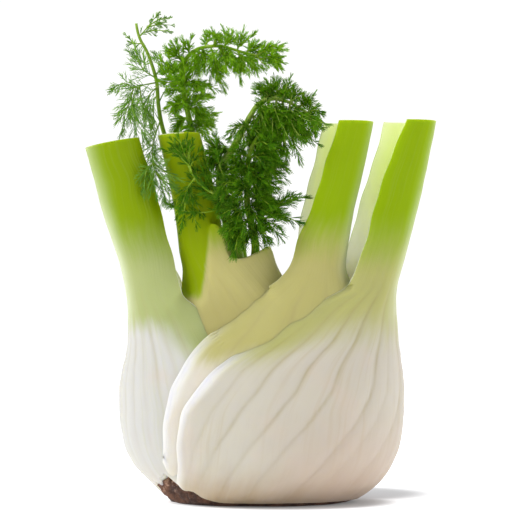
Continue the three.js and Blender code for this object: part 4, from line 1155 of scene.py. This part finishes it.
def tint(red, green, blue):
    """A colour as the eye reads it, 0 to 255, as the linear colour that Blender works in."""
    def linear(value):
        value /= 255
        return value / 12.92 if value <= 0.04045 else ((value + 0.055) / 1.055) ** 2.4

    return linear(red), linear(green), linear(blue), 1


def node(tree, kind, sockets=None, **settings):
    """A shader node with its settings and its sockets, each a value or another node's output."""
    made = tree.nodes.new("ShaderNode" + kind)
    for key, value in settings.items():
        setattr(made, key, value)
    for key, value in (sockets or {}).items():
        if isinstance(value, bpy.types.NodeSocket):
            tree.links.new(value, made.inputs[key])
        else:
            made.inputs[key].default_value = value
    return made


def calc(tree, operation, *values):
    """The result of one sum on values and outputs."""
    return node(tree, "Math", dict(enumerate(values)), operation=operation).outputs[0]


def times(tree, first, *others):
    """The product of values and outputs."""
    for other in others:
        first = calc(tree, "MULTIPLY", first, other)
    return first


def ramp(tree, value, low, high, to_low=0.0, to_high=1.0):
    """A value from low to high as a soft step from to_low to to_high."""
    sockets = {"Value": value, "From Min": low, "From Max": high, "To Min": to_low, "To Max": to_high}
    return node(tree, "MapRange", sockets, interpolation_type="SMOOTHSTEP").outputs["Result"]


def blend(tree, share, first, second):
    """The first colour with a share of the second over it."""
    return node(tree, "Mix", {0: share, 6: first, 7: second}, data_type="RGBA").outputs[2]


def noise_of(tree, vector, scale, detail=2.0, roughness=0.5):
    """Soft noise about a half."""
    sockets = {"Vector": vector, "Scale": scale, "Detail": detail, "Roughness": roughness}
    return node(tree, "TexNoise", sockets).outputs["Fac"]


def attribute(tree, name):
    return node(tree, "Attribute", attribute_name=name).outputs["Fac"]


def vector_of(tree, x, y, z):
    return node(tree, "CombineXYZ", {"X": x, "Y": y, "Z": z}).outputs[0]


def group(name, inputs, outputs):
    """An empty node group: inputs are (name, kind, value) and outputs (name, kind)."""
    tree = bpy.data.node_groups.new(name, "ShaderNodeTree")
    for label, kind, value in inputs:
        socket = tree.interface.new_socket(label, in_out="INPUT", socket_type="NodeSocket" + kind)
        socket.default_value = value
    for label, kind in outputs:
        tree.interface.new_socket(label, in_out="OUTPUT", socket_type="NodeSocket" + kind)
    return tree, tree.nodes.new("NodeGroupInput").outputs, tree.nodes.new("NodeGroupOutput").inputs


def use(tree, made, sockets):
    """The outputs of a node group that is placed with these values."""
    return node(tree, "Group", sockets, node_tree=made).outputs


WHITE = (1, 1, 1, 1)
# Each leaf's lowest, pale, olive and green colour, the heights between which olive and then green set in, the
# colour of its fibre lines and their share, and how much painted rim light pales the middle of its outer side
LEAF_SKINS = {
    "outer_left": {
        "low": tint(202, 195, 183), "pale": tint(203, 202, 197), "olive": tint(170, 179, 120),
        "green": tint(134, 159, 2), "heights": (60, 70, 82, 106), "lines": tint(192, 194, 156),
        "line_share": 0.22, "rim_light_share": 0.75,
    },
    "inner_left": {
        "low": tint(225, 214, 196), "pale": tint(176, 168, 108), "olive": tint(190, 183, 121),
        "green": tint(146, 168, 2), "heights": (66, 86, 88, 102), "lines": tint(176, 166, 104),
        "line_share": 0.3, "rim_light_share": 0,
    },
    "inner_right": {
        "low": tint(206, 192, 168), "pale": tint(218, 212, 198), "olive": tint(183, 177, 114),
        "green": tint(142, 170, 2), "heights": (48, 60, 84, 108), "lines": tint(176, 164, 108),
        "line_share": 0.3, "rim_light_share": 0.5,
    },
    "outer_right": {
        "low": tint(178, 157, 130), "pale": tint(202, 197, 184), "olive": tint(178, 177, 113),
        "green": tint(140, 168, 2), "heights": (52, 74, 74, 108), "lines": tint(190, 176, 144),
        "line_share": 0.3, "rim_light_share": 0.5,
    },
}
LEAF_VALUES = ("across", "around", "height", "edge", "inside", "groove", "roll")
WANDER = 9.0  # how far the borders between a leaf's colours wander up and down
GROOVE_TINT = tint(172, 160, 112)
WARM_TINT = tint(214, 194, 180)
# The painted shade low down on the bulb's right side, away from the key lamp
RIGHT_SHADE_TINT = tint(192, 170, 154)
# The painted rim light down the middle of a stalk's outer side
RIM_LIGHT_TINT = tint(212, 220, 186)
# The painted highlight along a clear margin
MARGIN_HIGHLIGHT_TINT = tint(247, 245, 238)
INSIDE_TINTS = (tint(250, 253, 234), tint(232, 253, 176))  # low down and at the stalks
# Each frond's darkest and brightest green, and the colour of its stems
FROND_SKINS = {
    "frond_tall": (tint(50, 102, 30), tint(130, 178, 66), tint(122, 158, 44)),
    "frond_arching": (tint(50, 110, 6), tint(140, 195, 28), tint(132, 176, 20)),
    "frond_bushy": (tint(20, 70, 2), tint(94, 152, 8), tint(146, 178, 70)),
    "frond_low": (tint(16, 66, 4), tint(84, 142, 12), tint(124, 162, 20)),
}


def fibre_group():
    """Fibres that run up a leaf: a line mask and a height for bump."""
    tree, given, out = group(
        "leaf_fibres",
        [("Across", "Float", 0), ("Around", "Float", 0), ("Height", "Float", 0), ("Spacing", "Float", 2)],
        [("Lines", "Float"), ("Relief", "Float")],
    )
    sway = noise_of(tree, vector_of(tree, given["Across"], given["Around"], given["Height"]), 0.04, 1)
    moved = calc(tree, "MULTIPLY_ADD", sway, 2.0, given["Across"])
    x = calc(tree, "DIVIDE", moved, given["Spacing"])
    y = calc(tree, "DIVIDE", given["Around"], given["Spacing"])
    z = times(tree, given["Height"], 0.014)
    coarse = noise_of(tree, vector_of(tree, x, y, z), 1.0, 1.5, 0.6)
    finer = vector_of(tree, times(tree, x, 3.1), times(tree, y, 3.1), times(tree, z, 2.2))
    fine = noise_of(tree, finer, 1.0, 2, 0.6)
    both = calc(tree, "MULTIPLY_ADD", fine, 0.45, times(tree, coarse, 0.55))
    tree.links.new(ramp(tree, both, 0.5, 0.68), out["Lines"])
    tree.links.new(both, out["Relief"])
    return tree


def height_group():
    """A leaf's colour by height: pale flesh, then an olive cream, then green, with uneven borders."""
    tree, given, out = group(
        "leaf_height_colour",
        [
            ("Height", "Float", 0),
            ("Wander", "Float", 0),
            ("Low Colour", "Color", WHITE),
            ("Pale Colour", "Color", WHITE),
            ("Olive Colour", "Color", WHITE),
            ("Green Colour", "Color", WHITE),
            ("Olive From", "Float", 50),
            ("Olive To", "Float", 60),
            ("Green From", "Float", 80),
            ("Green To", "Float", 110),
        ],
        [("Colour", "Color")],
    )
    height = calc(tree, "ADD", given["Height"], given["Wander"])
    colour = blend(tree, ramp(tree, height, 0, 18), given["Low Colour"], given["Pale Colour"])
    olive = ramp(tree, height, given["Olive From"], given["Olive To"])
    colour = blend(tree, olive, colour, given["Olive Colour"])
    green = ramp(tree, height, given["Green From"], given["Green To"])
    tree.links.new(blend(tree, green, colour, given["Green Colour"]), out["Colour"])
    return tree


def patch_group():
    """Soft uneven patches over a surface, as a mask."""
    tree, given, out = group(
        "soft_patches",
        [
            ("Vector", "Vector", (0, 0, 0)),
            ("Scale", "Float", 60),
            ("Level", "Float", 0.5),
            ("Softness", "Float", 0.1),
        ],
        [("Mask", "Float")],
    )
    found = noise_of(tree, given["Vector"], given["Scale"], 4, 0.55)
    high = calc(tree, "ADD", given["Level"], given["Softness"])
    tree.links.new(ramp(tree, found, given["Level"], high), out["Mask"])
    return tree


def material(name):
    """A new material, its node tree and its shader."""
    made = bpy.data.materials.new(name)
    made.use_nodes = True
    tree = made.node_tree
    return made, tree, tree.nodes["Principled BSDF"]


def bump(tree, shader, relief, strength, distance):
    """Fine relief in the light only. distance is in metres."""
    raised = node(tree, "Bump", {"Height": relief, "Strength": strength, "Distance": distance})
    tree.links.new(raised.outputs[0], shader.inputs["Normal"])


def soft_flesh(shader, radius, scale, weight):
    """Light that goes a little way into plant flesh and comes out again."""
    shader.inputs["Subsurface Weight"].default_value = weight
    shader.inputs["Subsurface Radius"].default_value = radius
    shader.inputs["Subsurface Scale"].default_value = scale


def axis_of(tree, place, axis):
    """One coordinate of a place, in metres. axis is X, Y or Z."""
    return node(tree, "SeparateXYZ", {"Vector": place}).outputs[axis]


def leaf_ground(tree, groups, look, height, shift):
    """A leaf's colour by height alone. shift moves the borders between its colours up and down."""
    tints = {name.title() + " Colour": look[name] for name in ("low", "pale", "olive", "green")}
    heights = dict(zip(("Olive From", "Olive To", "Green From", "Green To"), look["heights"]))
    wander = calc(tree, "SUBTRACT", shift, WANDER * 0.35)
    return use(tree, groups["height"], {"Height": height, "Wander": wander, **tints, **heights})["Colour"]


def leaf_marks(tree, groups, look, values, place, lines, uneven, shift):
    """What lies over a leaf's ground colour, painted light and shade too, lowest first, each as share and
    colour.
    """
    across, height = values["across"], values["height"]
    def by_height(low, high, to_low=0.0, to_high=1.0):
        return ramp(tree, height, low, high, to_low, to_high)

    lines = times(tree, lines, by_height(72, 98, look["line_share"], 0.05))
    # The margin melts into the leaf beneath
    melted = ramp(tree, calc(tree, "ADD", height, shift), 48, 62)
    melted = times(tree, ramp(tree, values["edge"], 26, 8), melted, by_height(92, 80))
    patchy = ramp(tree, uneven, 0.35, 0.65, 0.5, 1)
    groove = times(tree, values["groove"], by_height(4, 52, 0.1, 0.55), patchy)
    warm = use(tree, groups["patches"], {"Vector": place, "Scale": 55, "Level": 0.5, "Softness": 0.22})
    warm = times(tree, warm["Mask"], by_height(70, 50, 0, 0.25))
    # Painted shade: the bulb is painted darker and warmer low down on its right side, away from the key lamp
    right = ramp(tree, axis_of(tree, place, "X"), -0.01, 0.03, 0, 0.6)
    right = times(tree, right, by_height(40, 12, 0.2, 1), by_height(62, 50))
    # Painted rim light: a stalk is painted paler down the middle of its outer side, which turns to the side
    painted_rim_light = ramp(tree, calc(tree, "ABSOLUTE", across), 24, 4, 0, look["rim_light_share"])
    painted_rim_light = times(tree, painted_rim_light, by_height(128, 92, 0.5, 1), by_height(60, 72))
    # Painted highlight along a clear margin
    roll = times(tree, values["roll"], by_height(14, 46, 0.5, 0.95))
    inside = times(tree, values["inside"], 0.95)
    return [
        (lines, look["lines"]),
        (melted, look["olive"]),
        (groove, GROOVE_TINT),
        (warm, WARM_TINT),
        (right, RIGHT_SHADE_TINT),
        (painted_rim_light, RIM_LIGHT_TINT),
        (roll, MARGIN_HIGHLIGHT_TINT),
        (inside, blend(tree, by_height(80, 130), *INSIDE_TINTS)),
    ]


def leaf_skin(kind, groups):
    """A leaf's skin, from the values that its points carry."""
    look = LEAF_SKINS[kind]
    made, tree, shader = material(kind + "_skin")
    values = {name: attribute(tree, name) for name in LEAF_VALUES}
    across, around, height = [values[name] for name in ("across", "around", "height")]
    place = node(tree, "TexCoord").outputs["Object"]
    position = {"Across": across, "Around": around, "Height": height}
    fibres = use(tree, groups["fibres"], {**position, "Spacing": 2.6})
    lines, relief = fibres["Lines"], fibres["Relief"]
    uneven = noise_of(tree, vector_of(tree, across, around, times(tree, height, 0.25)), 0.28, 3)
    shift = times(tree, calc(tree, "SUBTRACT", uneven, 0.5), WANDER)
    shift = calc(tree, "MULTIPLY_ADD", relief, WANDER * 0.7, shift)
    colour = leaf_ground(tree, groups, look, height, shift)
    for share, over in leaf_marks(tree, groups, look, values, place, lines, uneven, shift):
        colour = blend(tree, share, colour, over)
    tree.links.new(colour, shader.inputs["Base Color"])
    tree.links.new(calc(tree, "MULTIPLY_ADD", relief, 0.16, 0.42), shader.inputs["Roughness"])
    grain = noise_of(tree, place, 1800, 3)
    bump(tree, shader, calc(tree, "MULTIPLY_ADD", grain, 0.12, relief), 0.35, 0.0004)
    shader.inputs["Specular IOR Level"].default_value = 0.08
    soft_flesh(shader, (1.0, 0.95, 0.65), 0.005, 0.75)
    return made


def cut_flesh():
    """The cut face of a stalk: pale wet flesh with the dots of its vessels."""
    made, tree, shader = material("cut_flesh")
    place = node(tree, "TexCoord").outputs["Object"]
    cells = node(tree, "TexVoronoi", {"Vector": place, "Scale": 620.0, "Randomness": 0.8}).outputs["Distance"]
    dots = ramp(tree, cells, 0.3, 0.16)
    pith = noise_of(tree, place, 900, 3)
    colour = blend(tree, pith, tint(196, 208, 120), tint(222, 226, 168))
    colour = blend(tree, times(tree, dots, 0.55), colour, tint(130, 150, 60))
    tree.links.new(colour, shader.inputs["Base Color"])
    shader.inputs["Roughness"].default_value = 0.35
    bump(tree, shader, calc(tree, "SUBTRACT", pith, times(tree, dots, 0.5)), 0.5, 0.0003)
    soft_flesh(shader, (1.0, 0.95, 0.5), 0.002, 0.3)
    return made


def root_bark(groups):
    """The brown bark of the root plate, with fresh spots where it is torn."""
    made, tree, shader = material("root_bark")
    place = node(tree, "TexCoord").outputs["Object"]
    broad = noise_of(tree, place, 180, 4, 0.6)
    fine = noise_of(tree, place, 1100, 4, 0.65)
    colour = blend(tree, ramp(tree, broad, 0.35, 0.65), tint(60, 38, 30), tint(112, 76, 56))
    colour = blend(tree, ramp(tree, fine, 0.55, 0.8, 0, 0.5), colour, tint(132, 104, 80))
    fresh = use(tree, groups["patches"], {"Vector": place, "Scale": 150, "Level": 0.5, "Softness": 0.08})
    high = ramp(tree, axis_of(tree, place, "Z"), 0.0035, 0.006)
    fresh = times(tree, fresh["Mask"], attribute(tree, "torn"), high)
    colour = blend(tree, fresh, colour, tint(190, 152, 128))
    tree.links.new(colour, shader.inputs["Base Color"])
    tree.links.new(ramp(tree, fine, 0.3, 0.7, 0.95, 0.7), shader.inputs["Roughness"])
    bump(tree, shader, calc(tree, "MULTIPLY_ADD", fine, 0.5, broad), 0.8, 0.0008)
    return made


def frond_skin(kind):
    """A frond's green, with its own tone on each leaflet, yellower tips and paler striped stems."""
    dark, bright, stem_colour = FROND_SKINS[kind]
    made, tree, shader = material(kind + "_skin")
    stem, tip, tone = [attribute(tree, name) for name in ("stem", "place", "tone")]
    uneven = noise_of(tree, node(tree, "TexCoord").outputs["Object"], 260, 3)
    share = calc(tree, "MULTIPLY_ADD", tone, 0.6, times(tree, uneven, 0.5))
    colour = blend(tree, share, dark, bright)
    colour = blend(tree, ramp(tree, tip, 0.6, 1, 0, 0.3), colour, tint(112, 156, 36))
    stripes = noise_of(tree, vector_of(tree, tone, uneven, times(tree, tip, 3)), 8, 2)
    pale = blend(tree, ramp(tree, stripes, 0.4, 0.7, 0, 0.4), stem_colour, tint(190, 205, 110))
    colour = blend(tree, ramp(tree, stem, 0.1, 0.9), colour, pale)
    tree.links.new(colour, shader.inputs["Base Color"])
    tree.links.new(ramp(tree, uneven, 0.3, 0.7, 0.45, 0.6), shader.inputs["Roughness"])
    bump(tree, shader, uneven, 0.3, 0.0002)
    shader.inputs["Specular IOR Level"].default_value = 0.1
    soft_flesh(shader, (0.6, 1.0, 0.1), 0.0008, 0.25)
    return made


# The stage


def stage():
    """A pale floor with painted light and painted shadows, that keeps the object's shadow soft and near."""
    floor = bpy.data.meshes.new("floor")
    corners = [(x * FLOOR_REACH, y * FLOOR_REACH, 0) for x, y in ((-1, -1), (1, -1), (1, 1), (-1, 1))]
    floor.from_pydata(corners, [], [(0, 1, 2, 3)])
    made, tree, shader = material("studio_floor")
    shader.inputs["Base Color"].default_value = tint(186, 186, 189)
    shader.inputs["Roughness"].default_value = 0.9
    place = node(tree, "TexCoord").outputs["Object"]
    # Painted light and shadow: the floor's glow, cut back in patches round the object
    glow = 1.0
    for middle, near, far in FLOOR_PAINTED_SHADOWS:
        away = node(tree, "VectorMath", {0: place, 1: middle}, operation="DISTANCE").outputs["Value"]
        glow = calc(tree, "MINIMUM", glow, ramp(tree, away, near, far))
    tree.links.new(ramp(tree, glow, 0, 1, *FLOOR_GLOW), shader.inputs["Emission Color"])
    shader.inputs["Emission Strength"].default_value = 1
    floor.materials.append(made)
    piece = bpy.data.objects.new("floor", floor)
    bpy.context.scene.collection.objects.link(piece)


def light(name, place, size, power):
    """A square lamp that shines at the lit point."""
    lamp = bpy.data.lights.new(name, "AREA")
    lamp.energy = power
    lamp.size = size
    made = bpy.data.objects.new(name, lamp)
    made.location = place
    made.rotation_euler = (Vector(LIT_POINT) - Vector(place)).to_track_quat("-Z", "Y").to_euler()
    bpy.context.scene.collection.objects.link(made)


def studio():
    """A white room that is brighter behind the object, two soft lamps and the camera."""
    scene = bpy.context.scene
    scene.view_settings.view_transform = "Standard"
    world = bpy.data.worlds.new("studio")
    world.use_nodes = True
    tree = world.node_tree
    towards = node(tree, "TexCoord").outputs["Generated"]
    depth = node(tree, "SeparateXYZ", {"Vector": towards}).outputs["Y"]
    background = tree.nodes["Background"]
    background.inputs["Color"].default_value = WHITE
    tree.links.new(ramp(tree, depth, -0.7, 0.4, FRONT_LIGHT, BACK_LIGHT), background.inputs["Strength"])
    scene.world = world
    for name, lamp in LIGHTS.items():
        light(name, *lamp)
    lens = bpy.data.cameras.new("camera")
    camera = bpy.data.objects.new("camera", lens)
    camera.location = EYE * MM
    aim = VIEW_MIDDLE - EYE
    camera.rotation_euler = aim.to_track_quat("-Z", "Y").to_euler()
    lens.sensor_width = SENSOR_WIDTH
    lens.lens = SENSOR_WIDTH * aim.length / VIEW_WIDTH
    lens.clip_end = 20
    scene.collection.objects.link(camera)
    scene.camera = camera


def mount(piece, replaced):
    """Puts a piece on the object's body, in place of its solid."""
    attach(piece, "root")
    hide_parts(replaced)
    return piece


def main():
    studio()
    stage()
    groups = {"fibres": fibre_group(), "height": height_group(), "patches": patch_group()}
    flesh = cut_flesh()
    mount(root_plate("root_plate_finished", root_bark(groups)), "root_plate")
    skin = leaf_skin("inner_left", groups)
    leaves = [mount(innermost_leaf("leaf_inner_left_finished", skin, flesh), "leaf_inner_left")]
    beneath = [closed_sheath, root_plate_edge]
    for kind in WRAPPING_LEAVES:
        leaf = Leaf(kind, list(beneath))
        beneath.append(leaf)
        piece = leaf_piece(f"leaf_{kind}_finished", leaf, leaf_skin(kind, groups), flesh)
        leaves.append(mount(piece, "leaf_" + kind))
    graph = bpy.context.evaluated_depsgraph_get()
    trees = [BVHTree.FromObject(piece, graph) for piece in leaves]
    for seed, name in enumerate(FRONDS):
        mount(frond(name + "_finished", name, frond_skin(name), trees, seed), name)


main()
